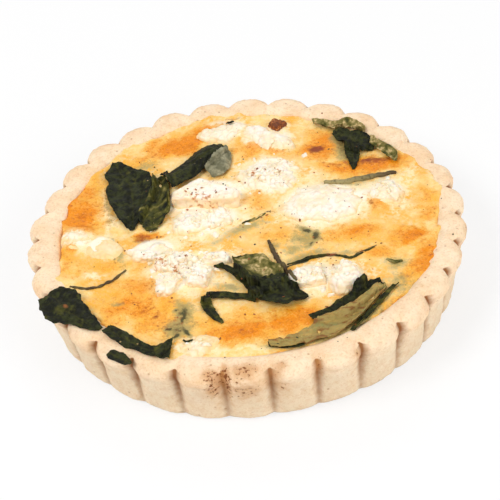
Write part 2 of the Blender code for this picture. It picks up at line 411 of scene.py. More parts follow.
# %% [markdown]
# ## The pastry case
# Shortcrust is pressed into a fluted tin, so its wall is a row of rounded flutes that meet in
# narrow grooves, with a thicker lip where the pastry bulges over the tin's edge. One profile
# is drawn in a vertical plane and turned round by a Screw modifier, then the flutes are
# pressed into it.
# The crumb is real relief too, since shortcrust is sandy when seen from close by.

# %% Draw the outline
FLUTES = 30
FLUTE_TURN = 1.5
TURN_STEPS = FLUTES * 28
INNER_RADIUS = CUSTARD_RADIUS - 1.6 * MM
FOOT_RADIUS = 55.8 * MM
BASE_TOP = custard_low.z - 0.3 * MM

PROFILE = [
    (0.0, BASE_TOP),
    (INNER_RADIUS - 3 * MM, BASE_TOP),
    (INNER_RADIUS, RIM_HEIGHT - 2.6 * MM),
    (INNER_RADIUS + 0.7 * MM, RIM_HEIGHT - 0.9 * MM),
    (INNER_RADIUS + 1.9 * MM, RIM_HEIGHT - 0.2 * MM),
    (INNER_RADIUS + 3.6 * MM, RIM_HEIGHT),
    (LIP_RADIUS - 2.4 * MM, RIM_HEIGHT - 0.1 * MM),
    (LIP_RADIUS - 0.8 * MM, RIM_HEIGHT - 0.8 * MM),
    (LIP_RADIUS, RIM_HEIGHT - 2.3 * MM),
    (LIP_RADIUS - 0.1 * MM, RIM_HEIGHT - 3.6 * MM),
    (LIP_RADIUS - 0.9 * MM, RIM_HEIGHT - 4.8 * MM),
    (LIP_RADIUS - 1.7 * MM, RIM_HEIGHT - 5.8 * MM),
    (LIP_RADIUS - 2.4 * MM, RIM_HEIGHT * 0.5),
    (FOOT_RADIUS + 0.4 * MM, 1.6 * MM),
    (FOOT_RADIUS - 0.2 * MM, 0.6 * MM),
    (FOOT_RADIUS - 1.6 * MM, 0.0),
    (0.0, 0.0),
]


def spaced(points, gap):
    """The same outline with extra points, so that none are further apart than gap."""
    filled = [points[0]]
    for start, end in zip(points, points[1:]):
        steps = max(1, round(math.dist(start, end) / gap))
        for step in range(1, steps + 1):
            share = step / steps
            filled.append(tuple(a + (b - a) * share for a, b in zip(start, end)))
    return filled


FLAT_GAP, CRUMB_GAP = 12 * MM, 0.50 * MM
# Close points where the crumb shows, and few on the flat base and the hidden inside.
outline = spaced(PROFILE[:3], FLAT_GAP)
outline += spaced(PROFILE[2:-1], CRUMB_GAP)[1:]
outline += spaced(PROFILE[-2:], FLAT_GAP)[1:]
print("outline of", len(outline), "points")

# %% Turn the outline round
select_only(None)
bpy.ops.mesh.primitive_plane_add(size=1 * MM)
case = bpy.context.object
case.name = case.data.name = "pastry_case"
case.data.clear_geometry()
links = [(step, step + 1) for step in range(len(outline) - 1)]
case.data.from_pydata([(radius, 0, height) for radius, height in outline], links, [])
apply_modifier(
    case, "SCREW", steps=TURN_STEPS, render_steps=TURN_STEPS, use_merge_vertices=True,
    merge_threshold=0.001 * MM,
)
print("turned case", faces_of(case), "faces from", len(outline), "profile points")

# %% Measure the turned case
points = points_of(case.data)
radius = np.hypot(points[:, 0], points[:, 1])
angle = np.arctan2(points[:, 1], points[:, 0])
height = points[:, 2]

LIP_HEIGHT = 5.6 * MM
ROUND_TOP = 1.2 * MM
RIM_WIDTH = 6.4 * MM
phase = (angle - math.radians(FLUTE_TURN)) / (2 * math.pi / FLUTES)
flute_number = np.round(phase)
off_crest = np.abs(phase - flute_number) * 2
wall_share = np.clip(height / RIM_HEIGHT, 0, 1)
lip_share = np.clip((height - (RIM_HEIGHT - LIP_HEIGHT)) / (1.6 * MM), 0, 1)
top = height > RIM_HEIGHT - ROUND_TOP
across_rim = np.clip((radius - CUSTARD_RADIUS) / RIM_WIDTH, 0, 1)
past_rim = radius > CUSTARD_RADIUS + 0.3 * MM
outside = np.where(past_rim, np.where(top, across_rim, 1.0), 0.0)
across_base = np.clip((radius - 20 * MM) / (30 * MM), 0, 1)
outside = np.where(height < BASE_TOP * 0.6, across_base, outside)
print("points on the rim's top", int(top.sum()))

# %% Press the flutes and roughen the crumb
sharpness = 3.1 - 0.8 * lip_share
depth = MM * (0.8 + 2.0 * wall_share + 0.3 * lip_share)
press = depth * off_crest**sharpness

circle = np.column_stack([np.cos(angle) * 1.6, np.sin(angle) * 1.6, 12 * height])
sag = 0.9 * MM * rough(circle, 1.0)
lump = 0.28 * MM * layered(points, 5.0 * MM, 3, 2)
crumb = 0.10 * MM * layered(points, 1.1 * MM, 5, 2) + 0.07 * MM * rough(points, 0.5 * MM, 8)
crumb = np.where(radius > INNER_RADIUS - 0.5 * MM, crumb, 0)
by_flute = np.column_stack([flute_number, 0 * flute_number, 0 * flute_number]) * 1.37
bulge = 0.8 * MM * rough(by_flute, 1.0, 4) * lip_share * (1 - off_crest**2)
moved = radius + outside * (sag - press + lump + bulge) + crumb * (radius > 5 * MM)
share = np.where(radius > 1e-6, moved / np.maximum(radius, 1e-6), 1)
outer_rim = np.clip((radius - CUSTARD_RADIUS - 3 * MM) / (3 * MM), 0, 1)
rim_dip = 0.45 * MM * off_crest**5 * outer_rim
rise = np.where(top, 0.30 * MM * layered(points, 9 * MM, 12, 2) - rim_dip + crumb * 0.8, 0)
points[:, 0] *= share
points[:, 1] *= share
points[:, 2] = np.where(top, np.minimum(height + rise, RIM_HEIGHT + 0.4 * MM), height)
set_points(case.data, points)

# Painted shade: the flute grooves are darkened, more toward the top of the wall.
groove = off_crest**4.5 * outside * (height < RIM_HEIGHT - ROUND_TOP) * (0.35 + 0.65 * wall_share)
side = np.clip((RIM_HEIGHT - 4.0 * MM - height) / (4 * MM), 0, 1)
side *= radius > INNER_RADIUS + 2 * MM
print("flutes pressed", FLUTES, "deepest", round(float(press.max()) / MM, 2), "mm")

# %% [markdown]
# Some places on the case caught more heat. A few flutes at the front hold a cluster of dark
# flecks, two grooves are stained, and the rim has a few red-brown marks. The marks go on the
# mesh as an attribute, and the material breaks each into single flecks.

# %% Toasted marks on the case
CASE_MARKS = [
    # x, y, half sizes, strength, all in mm; the marks reach down the wall below them
    (-9.6, -57.0, 1.5, 3.0, 1.0),
    (-5.0, -57.0, 5.0, 2.6, 0.82),
    (-13.0, -57.0, 3.2, 2.4, 0.78),
    (4.0, -57.0, 3.0, 2.0, 0.60),
    (13.6, -57.0, 1.2, 3.0, 0.85),
    (24.0, -54.0, 2.4, 1.6, 0.60),
    (56.5, -19.0, 2.0, 2.2, 0.85),
    (58.5, -11.0, 1.2, 3.4, 0.55),
    (-37.0, 45.0, 2.2, 1.8, 0.8),
    (-49.5, -34.0, 1.8, 1.2, 0.8),
    (-42.0, -43.0, 1.6, 1.4, 0.55),
]
marks = np.zeros(len(points))
for x, y, half_x, half_y, strength in CASE_MARKS:
    marks = np.maximum(marks, strength * spot(points[:, 0], points[:, 1], x, y, half_x, half_y))
marks *= np.clip((height - 4 * MM) / (9 * MM), 0, 1)
# The first attribute holds painted shade for the flute grooves; the toasted marks are real browning.
keep_attributes(case.data, groove=groove, side=side, toasted=marks)
print(len(CASE_MARKS), "toasted marks")

# %% [markdown]
# Shortcrust is matt and sandy: pale where the tin shaded it and warmer on top, and painted shade
# darkens its grooves. A flat colour would look like plaster, so noises of several sizes tint it,
# and the attributes say where it is side, groove with painted shade, or toasted.

# %% Pastry finish
pastry = Finish("shortcrust")
pale, warm, tan = (250, 225, 192), (244, 209, 168), (214, 170, 118)
# The groove colour is painted shade.
wall_beige, sugar_white, groove_brown = (229, 210, 180), (254, 236, 210), (146, 92, 46)
brown, dark = (156, 98, 48), (128, 70, 24)
warmed, scorched_tan = (212, 156, 96), (190, 128, 66)
wide, middling, sand, fine = pastry.noises((9, 2), (2.2, 3), (0.6, 2), (0.28, 1))
blotchy, speckled = pastry.noises((1.6, 3), (0.8, 1))
# Mask of the painted shade in the grooves.
grooved = pastry.attribute("groove") + (middling - 0.5) * 0.3
toasted = pastry.attribute("toasted")
blotch = (toasted + blotchy * 0.8).above(0.72, 0.35) * 0.45 * toasted.above(0.05, 0.3)
speck = (toasted * 0.55 + speckled * 1.1).above(0.96, 0.14) * toasted.above(0.1, 0.2)
tint = pastry.coats(
    pale,
    (wide.above(0.38, 0.3), warm),
    (pastry.attribute("side") * 0.75, wall_beige),
    (middling.above(0.46, 0.30) * 0.36, tan),
    (sand.above(0.50, 0.20) * 0.40, tan),
    (fine.above(0.58, 0.12) * 0.35, sugar_white),
    # painted shade in the flute grooves
    (grooved.above(0.12, 0.60), groove_brown),
    (pastry.flecks(2.2 * MM, 0.20, 0.44 * MM) * 0.5, brown),
    (pastry.flecks(4.3 * MM, 0.16, 0.36 * MM) * 0.8, dark),
    (toasted * 0.50, warmed),
    (blotch, scorched_tan),
    (speck, dark),
)
grain = pastry.bump(sand + fine * 0.8, 0.35, 0.12 * MM)
pastry.done(tint, 0.82 + middling * 0.1, grain, Subsurface_Weight=0.08, Subsurface_Scale=1 * MM)
finish_piece(case, pastry.material, "pastry", "crust")
print("pastry finish on", faces_of(case), "faces")

# %% [markdown]
# ## The custard
# Baked custard is a low, uneven dome. It browns where it rose highest, it climbs a little at
# every lump of cheese, and it creeps over the rim in a few places. A square grid is eased
# into a disc, so that its cells stay small all over, and then each point gets its height.

# %% A round sheet with sides
CUSTARD_CELLS = 282
CUSTARD_EDGE = CUSTARD_RADIUS + 3.4 * MM
SURFACE = RIM_HEIGHT - 1.2 * MM

SHOULDER = 1.6 * MM

select_only(None)
bpy.ops.mesh.primitive_grid_add(x_subdivisions=CUSTARD_CELLS, y_subdivisions=CUSTARD_CELLS, size=2)
custard = bpy.context.object
custard.name = custard.data.name = "custard_fill"
points = points_of(custard.data)
square_x, square_y = points[:, 0].copy(), points[:, 1].copy()
points[:, 0] = CUSTARD_EDGE * square_x * np.sqrt(1 - square_y**2 / 2)
points[:, 1] = CUSTARD_EDGE * square_y * np.sqrt(1 - square_x**2 / 2)
points[:, 2] = SURFACE
set_points(custard.data, points)

bpy.ops.object.mode_set(mode="EDIT")
bpy.ops.mesh.select_mode(type="EDGE")
bpy.ops.mesh.select_all(action="SELECT")
bpy.ops.mesh.region_to_loop()
for drop in (-SHOULDER, custard_low.z - SURFACE + SHOULDER):
    bpy.ops.mesh.extrude_region_move(TRANSFORM_OT_translate={"value": (0, 0, drop)})
bpy.ops.transform.resize(value=(0.91, 0.91, 1.0), center_override=(0, 0, 0))
bpy.ops.mesh.edge_face_add()
bpy.ops.mesh.select_all(action="SELECT")
bpy.ops.mesh.normals_make_consistent(inside=False)
bpy.ops.object.mode_set(mode="OBJECT")
print("custard sheet", faces_of(custard), "faces")

# %% [markdown]
# The browned places, the leaves that lie just under the surface and the thin dark edges that
# show through are lists of ovals and short lines, in millimetres on the quiche. Each list
# becomes one attribute, roughened by noise so that no oval can be seen as one.

# %% Where the custard is browned, green or pale
BROWNED = [
    # x, y, half sizes, turn, strength
    (-15, 41.7, 10, 3.6, 22, 1.0),
    (-26, 36.2, 6, 3.4, 40, 0.55),
    (-45, 12.7, 5.5, 7.0, -10, 1.0),
    (-43, 22.7, 4, 6, -25, 0.62),
    (-47, -10.3, 4, 6, 0, 0.42),
    (-4, -41.8, 7.5, 3.8, 0, 1.0),
    (9, -39.3, 6.5, 4.6, 10, 0.85),
    (-31, -28.3, 10, 6.5, -20, 0.68),
    (-25, -36.3, 7, 5, 0, 0.62),
    (-38, -32.3, 4, 5, 0, 0.5),
    (22, 30.2, 5, 5, 0, 0.85),
    (5, 34.2, 8, 3.4, -10, 0.62),
    (37, 21.2, 7, 2.6, 8, 0.95),
    (25, 20.7, 4, 3.4, 0, 0.55),
    (44, -11.8, 5, 2.8, 12, 0.95),
    (45, -23.3, 3.4, 9, -28, 0.80),
    (28, -8.8, 9, 3.6, 5, 0.68),
    (8, -5.3, 7, 3.4, 15, 0.45),
    (34, -18.3, 5, 3, 0, 0.55),
    (36, -39.3, 8, 2.6, 42, 0.62),
    (-28.5, -0.1, 3.6, 1.6, -10, 0.95),
    (-31, -10.3, 3, 4, 0, 0.35),
    (50, 0.7, 2.4, 9, 0, 0.45),
    (20, -45.3, 4, 1.6, 25, 0.55),
    (-10, -25.8, 2, 1, 0, 0.4),
    (-48, 21, 3.0, 8, -14, 0.75),
    (-49, -4.0, 2.0, 8, 0, 0.50),
    (-38, -10.0, 5, 2.6, 0, 0.50),
    (-30, -20.5, 8, 3.6, -25, 0.55),
    (-12, -37.0, 6, 3.0, 10, 0.50),
    (0, -35.5, 9, 2.4, 0, 0.55),
    (36, 2.5, 2.0, 3.6, 0, 0.6),
    (48, -2.0, 3.6, 5, 0, 0.5),
    (3.5, 9.5, 4, 5.5, 0, 0.45),
    (24.5, 33.0, 4.5, 6.5, 0, 0.8),
    (37.5, 21.0, 8, 3.6, 6, 1.0),
    (30, 20.5, 5, 3, 0, 0.8),
    (14, 29.5, 3, 5, 0, 0.35),
]
SCORCHED = [
    (-29.0, -29.0, 8.0, 5.0, -20, 0.30),
    (-24.0, -37.0, 5.0, 3.5, 0, 0.28),
    (-16.0, 41.5, 7.0, 2.6, 22, 0.24),
    (-45.5, 13.0, 4.0, 5.5, -10, 0.22),
    (-3.0, -41.8, 5.5, 2.6, 0, 0.22),
    (44.0, -11.8, 4.0, 2.0, 12, 0.26),
    (24.0, 31.0, 5.0, 6.0, 0, 0.28),
    (34.0, 24.0, 9.0, 4.0, 0, 0.26),
    (45.5, -23.5, 2.4, 7.0, -28, 0.22),
    (38.5, 22.5, 5.0, 1.9, 10, 0.65),
    (27.5, 22.0, 3.0, 1.4, 0, 0.45),
    (20.2, -16.0, 2.6, 0.7, 0, 0.8),
    (21.8, 30.4, 2.5, 1.9, 30, 1.0),
    (23.2, 31.9, 0.8, 0.6, 0, 0.8),
    (-29.0, -1.3, 4.8, 2.6, -12, 0.55),
    (-4.5, 38.9, 1.8, 0.8, -30, 0.7),
    (35.6, 22.7, 3.0, 1.3, 20, 0.8),
    (41.5, 23.2, 2.2, 1.0, -40, 0.6),
    (17.8, -44.9, 2.6, 0.8, 20, 0.75),
    (23.0, -40.3, 2.8, 0.7, 28, 0.6),
    (30.5, -30.3, 2.0, 1.0, 35, 0.7),
    (34.6, 3.3, 1.0, 1.6, 0, 0.6),
    (-26.0, -32.8, 1.0, 0.8, 0, 0.6),
    (-1.0, 49.9, 2.8, 0.7, 0, 0.55),
]
UNDER_LEAF = [
    (29.0, 31.0, 2.6, 7.5, 8, 0.75),
    (14.8, -8.2, 4.4, 4.8, 0, 0.58),
    (11.5, -12.6, 3.6, 2.4, 20, 0.50),
    (17.9, -8.0, 1.5, 2.6, 0, 1.05),
    (15.9, -11.0, 2.5, 1.1, 40, 0.85),
    (15.4, -4.9, 2.6, 1.1, -45, 1.0),
    (-1.0, -1.8, 8.5, 2.2, 28, 0.50),
    (-8.5, -5.8, 4.5, 2.0, 20, 0.35),
    (14.5, -15.9, 8.0, 1.8, 12, 0.55),
    (25.0, -16.9, 5.0, 1.6, -10, 0.40),
    (6.6, -10.3, 1.6, 3.2, -10, 0.45),
    (-20.5, -38.8, 4.2, 3.8, 0, 0.75),
    (-19.0, -35.0, 0.8, 2.6, -10, 1.15),
    (-22.8, -38.4, 1.6, 0.8, 0, 1.1),
    (-18.4, -40.4, 0.9, 2.2, 20, 1.15),
    (-21.2, -41.4, 1.8, 0.8, 30, 1.05),
    (-20.6, -32.0, 1.2, 0.7, 20, 1.0),
    (-18.8, -33.3, 2.4, 4.6, 0, 0.85),
    (-36.0, -26.3, 2.2, 1.1, -20, 0.5),
    (-35.0, -6.8, 1.4, 6.0, 8, 0.50),
    (-37.5, 12.7, 1.5, 12.0, 4, 0.30),
    (37.5, -22.8, 3.4, 2.6, 0, 0.55),
    (37.0, -31.3, 4.5, 5.5, -30, 0.42),
    (24.0, -43.3, 10.5, 3.2, 33, 0.75),
    (11.0, -48.3, 9.5, 1.7, 3, 0.85),
    (30.5, 29.7, 4.5, 6.5, 20, 0.40),
    (28.5, 40.2, 5.5, 2.0, -30, 0.55),
    (31.0, 12.7, 8.0, 1.5, 3, 0.35),
    (-26.5, 32.2, 4.0, 2.8, 30, 0.42),
    (-7.0, -25.3, 4.6, 1.8, -15, 0.50),
    (2.0, -13.8, 3.0, 1.2, 0, 0.30),
    (-13.5, -32.3, 2.6, 2.6, 0, 0.30),
    (12.0, 50.7, 6.0, 1.6, 0, 0.25),
]
PALE = [
    (-11, 11.5, 10, 8, 0, 1.0),
    (-10, 3.5, 10, 5.5, 8, 1.0),
    (6.5, 20.5, 8, 8.5, -15, 0.95),
    (22, 4.5, 12, 8.5, 5, 1.0),
    (36, 7.5, 9, 7.5, 0, 0.8),
    (-25, -6, 8, 4, 15, 0.9),
    (-20, -16.5, 10, 7.5, 0, 0.95),
    (-10, -13, 7, 4.5, 20, 0.7),
    (18, -25.5, 10, 6, 0, 0.95),
    (-3.5, 43.5, 8, 5.5, 0, 0.8),
    (9, 36.5, 8, 4.5, -38, 0.85),
    (-46.8, 2.8, 4.2, 5.2, 0, 0.9),
    (-40.2, -2, 3.4, 4.2, 0, 0.85),
    (-43, -14, 6, 1.6, 0, 0.6),
    (-14, -46.5, 7, 3.2, 10, 0.6),
    (-2, -49, 8, 1.2, 0, 0.5),
    (15, 26.5, 6, 5, 0, 0.5),
    (-14, -23.5, 8, 5, 0, 0.6),
    (47, 18, 4, 9, -20, 0.45),
    (-38.3, 13, 1.6, 12, 4, 0.75),
    (-8, -4, 8, 4, 20, 0.5),
    (43, 2, 6, 4, 0, 0.55),
    (20, 17, 8, 5, 0, 0.45),
    (-31, -6, 5, 3, 20, 0.6),
]
SEAMS = [
    # short dark lines in mm: points, half width, strength
    ([(0.5, 0.8), (6.2, 4.0)], 0.40, 0.5),
    ([(9.0, -19.3), (15.0, -17.1), (22.0, -16.3), (26.0, -19.3)], 0.50, 0.85),
    ([(26.0, -19.3), (29.0, -17.3), (33.2, -15.0)], 0.35, 0.7),
    ([(-36.4, 1.0), (-36.8, -5.0), (-36.2, -9.5)], 0.70, 0.38),
    ([(-38.4, 26.0), (-38.8, 14.0), (-35.6, 4.0)], 0.35, 0.40),
    ([(14.0, 33.7), (14.2, 30.2)], 0.25, 0.5),
    ([(36.5, -28.3), (39.5, -31.3), (36.0, -37.3)], 0.35, 0.4),
    ([(-33.5, -7.0), (-29.0, -3.2), (-24.0, -2.0)], 0.30, 0.30),
]
print("ovals", sum(len(t) for t in (BROWNED, SCORCHED, UNDER_LEAF, PALE)), "lines", len(SEAMS))


# %% Turn the lists into masks
def oval_mask(x, y, ovals, spread=1.0):
    """The strongest of the ovals at each point; spread makes them all wider."""
    total = np.zeros(len(x))
    for middle_x, middle_y, half_x, half_y, turn, strength in ovals:
        oval = spot(x, y, middle_x, middle_y, half_x * spread, half_y * spread, turn)
        total = np.maximum(total, strength * oval)
    return total


def line_distance(x, y, line):
    """Distance in mm from each point to a line of short straight runs."""
    best = np.full(len(x), 1e9)
    here = np.column_stack([x / MM, y / MM])
    for start, end in zip(line, line[1:]):
        a, b = np.array(start), np.array(end)
        share = np.clip((here - a) @ (b - a) / ((b - a) @ (b - a)), 0, 1)
        best = np.minimum(best, np.linalg.norm(here - a - share[:, None] * (b - a), axis=1))
    return best


points = points_of(custard.data)
flat = points * np.array([1, 1, 0])
warp_x = 2.4 * MM * layered(flat, 6 * MM, 21) + 0.9 * MM * rough(flat, 1.6 * MM, 24)
warp_y = 2.4 * MM * layered(flat, 6 * MM, 31) + 0.9 * MM * rough(flat, 1.6 * MM, 34)
bent_x, bent_y = points[:, 0] + warp_x, points[:, 1] + warp_y
slight_x, slight_y = points[:, 0] + warp_x * 0.3, points[:, 1] + warp_y * 0.3
browned = oval_mask(bent_x, bent_y, BROWNED, 1.28)
scorched = oval_mask(slight_x, slight_y, SCORCHED)
under_leaf = oval_mask(slight_x, slight_y, UNDER_LEAF)
pale_mask = oval_mask(bent_x, bent_y, PALE, 1.2)
seams = np.zeros(len(points))
for line, half, strength in SEAMS:
    near = line_distance(slight_x, slight_y, line)
    seams = np.maximum(seams, strength * np.exp(-((near / half) ** 2)))
print("browned share of the surface", round(float((browned > 0.4).mean()), 2))

# %% [markdown]
# Now the heights: the same low dome as the plain solid, plus lumps of several sizes, raised
# browned blisters, folds over the hidden leaves, and a small climb at each lump of cheese.

# %% Shape the custard's surface
DOME = 0.7 * MM
CREEP = [(12, 14, 0.7), (236, 14, 1.0), (198, 9, 0.5), (130, 12, 0.3), (95, 9, 0.5), (330, 12, 0.4)]


def dome_height(x, y):
    """The plain solid's own surface, before the fine relief."""
    share = min(1.0, math.hypot(x, y) / CUSTARD_RADIUS)
    lumps = noise.noise(Vector((x * 45, y * 45, 3.7)))
    return SURFACE + (1 - share**2) * (DOME + 1.1 * MM * lumps)


lump_names = sorted(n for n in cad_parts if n.startswith("cheese") or n == "toasted_flake")
on_top = points[:, 2] > SURFACE - 0.01 * MM
climb = np.zeros(len(points))
for name in lump_names:
    low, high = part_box(name)
    middle, half = (low + high) / 2, (high - low) / 2
    ring = np.hypot((points[:, 0] - middle.x) / half.x, (points[:, 1] - middle.y) / half.y)
    climb = np.maximum(climb, np.exp(-((np.maximum(ring - 0.9, 0) / 0.28) ** 2)))

polar = np.degrees(np.arctan2(points[:, 1], points[:, 0])) % 360
creep = np.zeros(len(points))
for middle, half, strength in CREEP:
    off = (polar - middle + 180) % 360 - 180
    creep = np.maximum(creep, strength * np.exp(-((off / half) ** 2)))
creep += 0.45 * layered(flat, 5 * MM, 58, 2)
reach = np.hypot(points[:, 0], points[:, 1])
rim_side = np.clip((reach - CUSTARD_RADIUS + 4 * MM) / (4 * MM), 0, 1)
edge = CUSTARD_RADIUS - 1.5 * MM + 3.4 * MM * creep + 0.8 * MM * layered(flat, 6 * MM, 51, 3)
past_edge = np.clip((reach - edge) / (0.9 * MM), 0, 1) ** 2

relief = 0.42 * MM * layered(flat, 7 * MM, 41)
relief += 0.18 * MM * layered(flat, 2.2 * MM, 44, 2)
relief += 0.05 * MM * rough(flat, 0.8 * MM, 47)
relief += 0.35 * MM * browned + 0.28 * MM * under_leaf + 0.22 * MM * seams
relief += 0.55 * MM * climb + 0.3 * MM * pale_mask
relief *= 1 - 0.6 * rim_side
relief += rim_side * (0.35 * MM + 1.10 * MM * creep) - 1.7 * MM * past_edge
base = np.array([dome_height(x, y) for x, y in points[:, :2]])
points[:, 2] = np.where(on_top, base + relief, points[:, 2])
set_points(custard.data, points)
browned = np.clip(browned + 0.14 * layered(flat, 4 * MM, 55), 0, 1)
keep_attributes(
    custard.data, browned=browned, scorched=scorched, under_leaf=under_leaf, pale=pale_mask,
    seam=seams, near_lump=climb,
)
lowest, highest = points[on_top, 2].min(), points[:, 2].max()
print("custard surface from", round(lowest / MM, 1), "to", round(highest / MM, 1), "mm")

# %% [markdown]
# Custard goes from cream through gold to orange and rust as it browns, and grey-green where a
# leaf lies under it. Each of these is a coat of colour over the last. The masks that come
# from the attributes are broken up by one mottle, so that their edges run into each other.

# %% Custard finish
egg = Finish("baked_custard")
white_custard, cream, yellow = (254, 243, 222), (253, 230, 184), (250, 212, 136)
gold, amber, orange, caramel = (243, 178, 62), (238, 170, 66), (236, 142, 4), (194, 98, 8)
copper, rust, herb_dark = (186, 92, 26), (140, 62, 20), (60, 46, 24)
leaf_grey, leaf_deep, seam_green = (166, 150, 92), (68, 66, 36), (58, 58, 34)
wide, middling, small, fine = egg.noises((9, 3), (3.0, 4), (1.0, 3), (0.45, 2))
mottle = (middling - 0.5) * 0.9 + (small - 0.5) * 0.85 + (fine - 0.5) * 0.45
milky = egg.attribute("pale") + egg.attribute("near_lump") * 0.35 + mottle * 0.7
heat = egg.attribute("browned") + mottle * 0.60
cool = 1 - heat.above(0.10, 0.4) * 0.7
green = egg.attribute("under_leaf") + mottle * 0.65
seam = egg.attribute("seam") + mottle * 0.4
burnt = egg.attribute("scorched") + mottle * 0.6
tint = egg.coats(
    yellow,
    (wide.above(0.40, 0.22), gold),
    ((mottle + 0.5).above(0.46, 0.24) * 0.60, cream),
    ((0.5 - mottle).above(0.58, 0.20) * 0.50, amber),
    (milky.above(0.28, 0.30) * 0.95, cream),
    (milky.above(0.62, 0.26) * 0.95, white_custard),
    (heat.above(0.18, 0.24) * 0.80, gold),
    (heat.above(0.38, 0.36), orange),
    (heat.above(0.82, 0.36) * 0.70, caramel),
    (fine.above(0.56, 0.14) * heat.above(0.15, 0.5) * 0.40, caramel),
    ((1 - fine).above(0.56, 0.14) * cool * 0.34, cream),
    (green.above(0.16, 0.34) * 0.85, leaf_grey),
    (green.above(0.58, 0.30) * 0.95, leaf_deep),
    (seam.above(0.30, 0.35), seam_green),
    (burnt.above(0.24, 0.46), rust),
    (small.above(0.58, 0.10) * heat.above(0.25, 0.5) * 0.45, copper),
    (egg.flecks(2.4 * MM, 0.18, 0.34 * MM) * 0.7, rust),
    (egg.flecks(5.2 * MM, 0.22, 0.32 * MM) * 0.85, herb_dark),
)
gloss = 0.46 + middling * 0.22
soft_bump = egg.bump(middling * 0.8 + small * 0.35, 0.25, 0.35 * MM)
egg.done(
    tint, gloss, soft_bump, Subsurface_Weight=0.10, Subsurface_Scale=1.5 * MM,
    Specular_IOR_Level=0.26,
)
finish_piece(custard, egg.material, "custard", "custard")
print("custard finish on", faces_of(custard), "faces")

# %% [markdown]
# ## The cheese
# White crumbly cheese breaks into blocks with worn edges and a grainy face. Each lump starts
# as a cube at its solid's place, or as a flat ball if it softened. The cube's edges are
# bevelled and a few corners are sliced off where the cheese broke. A voxel remesh then gives
# the even, fine faces that the crumbs need and a bevelled cube lacks.

# %% Tables for the lumps
# length and width in mm, heading in degrees, how rounded it is, slices broken off,
# depth of its crumbs in mm, how browned it is all over (0 to 1.5), how melted (0 to 1)
LUMPS = {
    "cheese_block": (19.0, 11.0, -10, 0.09, 0, 0.34, 0.80, 0.0),
    "cheese_under_block": (17.0, 8.5, 8, 0.34, 1, 0.80, 0.45, 0.2),
    "cheese_slice": (15.0, 11.5, 10, 0.42, 0, 0.50, 0.15, 0.9),
    "cheese_long": (19.0, 9.0, -38, 0.42, 0, 0.50, 0.10, 0.2),
    "cheese_crumbly": (16.5, 16.0, -20, 0.44, 0, 0.90, 1.5, 0.35),
    "cheese_disc": (23.5, 18.0, 6, 0.46, 0, 0.26, 0.12, 0.3),
    "cheese_right": (8.5, 11.0, -25, 0.44, 0, 0.75, 0.20, 0.6),
    "cheese_twin_left": (9.6, 8.6, 10, 0.28, 1, 0.50, 0.35, 0.1),
    "cheese_twin_right": (8.4, 10.4, 18, 0.28, 1, 0.50, 0.45, 0.1),
    "cheese_crumb_1": (14.0, 8.5, 10, 0.42, 1, 0.75, 0.30, 0.3),
    "cheese_crumb_2": (10.0, 6.5, -25, 0.28, 1, 0.65, 1.5, 0.1),
    "cheese_crumb_3": (8.2, 6.2, 15, 0.28, 1, 0.65, 1.2, 0.0),
    "cheese_crumb_4": (6.8, 8.0, -10, 0.28, 1, 0.65, 1.3, 0.0),
    "cheese_crumb_5": (7.0, 5.0, 20, 0.28, 1, 0.60, 0.60, 0.1),
    "cheese_left_1": (9.5, 10.0, 0, 0.48, 0, 0.35, 0.05, 1.0),
    "cheese_left_2": (7.5, 8.2, 0, 0.48, 0, 0.35, 0.05, 1.0),
    "cheese_front": (13.0, 7.0, 18, 0.44, 0, 0.45, 0.10, 0.9),
}
# Clean breaks: the two ends of each in mm; what lies to its left is broken off.
BREAKS = {
    "cheese_block": [((-20.4, 13.4), (-11.6, 19.2)), ((-11.6, 19.2), (0.4, 10.6))],
}
LUMP_SHIFT = Vector((0, -1.3 * MM, 0))
VOXEL = 0.30 * MM
SOFT_ROUNDING = 0.4
print(len(LUMPS), "lumps in the table")


# %% Two ways to break a corner off
def cut_away(place, normal):
    """Cuts the mesh in edit mode by a plane and closes it, without what lies beyond."""
    bpy.ops.mesh.select_all(action="SELECT")
    bpy.ops.mesh.bisect(plane_co=place, plane_no=normal, use_fill=True, clear_outer=True)


def break_off(start, end, slant=0.12):
    """Cuts the mesh in edit mode along an upright, slightly slanting plane."""
    run = (Vector((*end, 0)) - Vector((*start, 0))).normalized()
    normal = Vector((-run.y, run.x, slant)).normalized()
    cut_away(Vector((*start, 19)) * MM, normal)


def slice_corner(middle, length, width, turn, seed):
    """Cuts off one upper corner of the mesh in edit mode, at a slightly random slant."""
    choice = np.random.default_rng(seed)
    around = turn + choice.uniform(0, 2 * math.pi)
    lift = choice.uniform(0.15, 0.9)
    normal = Vector((math.cos(around), math.sin(around), lift)).normalized()
    reach = 0.30 * (length + width) / 2 * choice.uniform(1.0, 1.3)
    cut_away(middle + normal * reach, normal)


print("cuts ready")


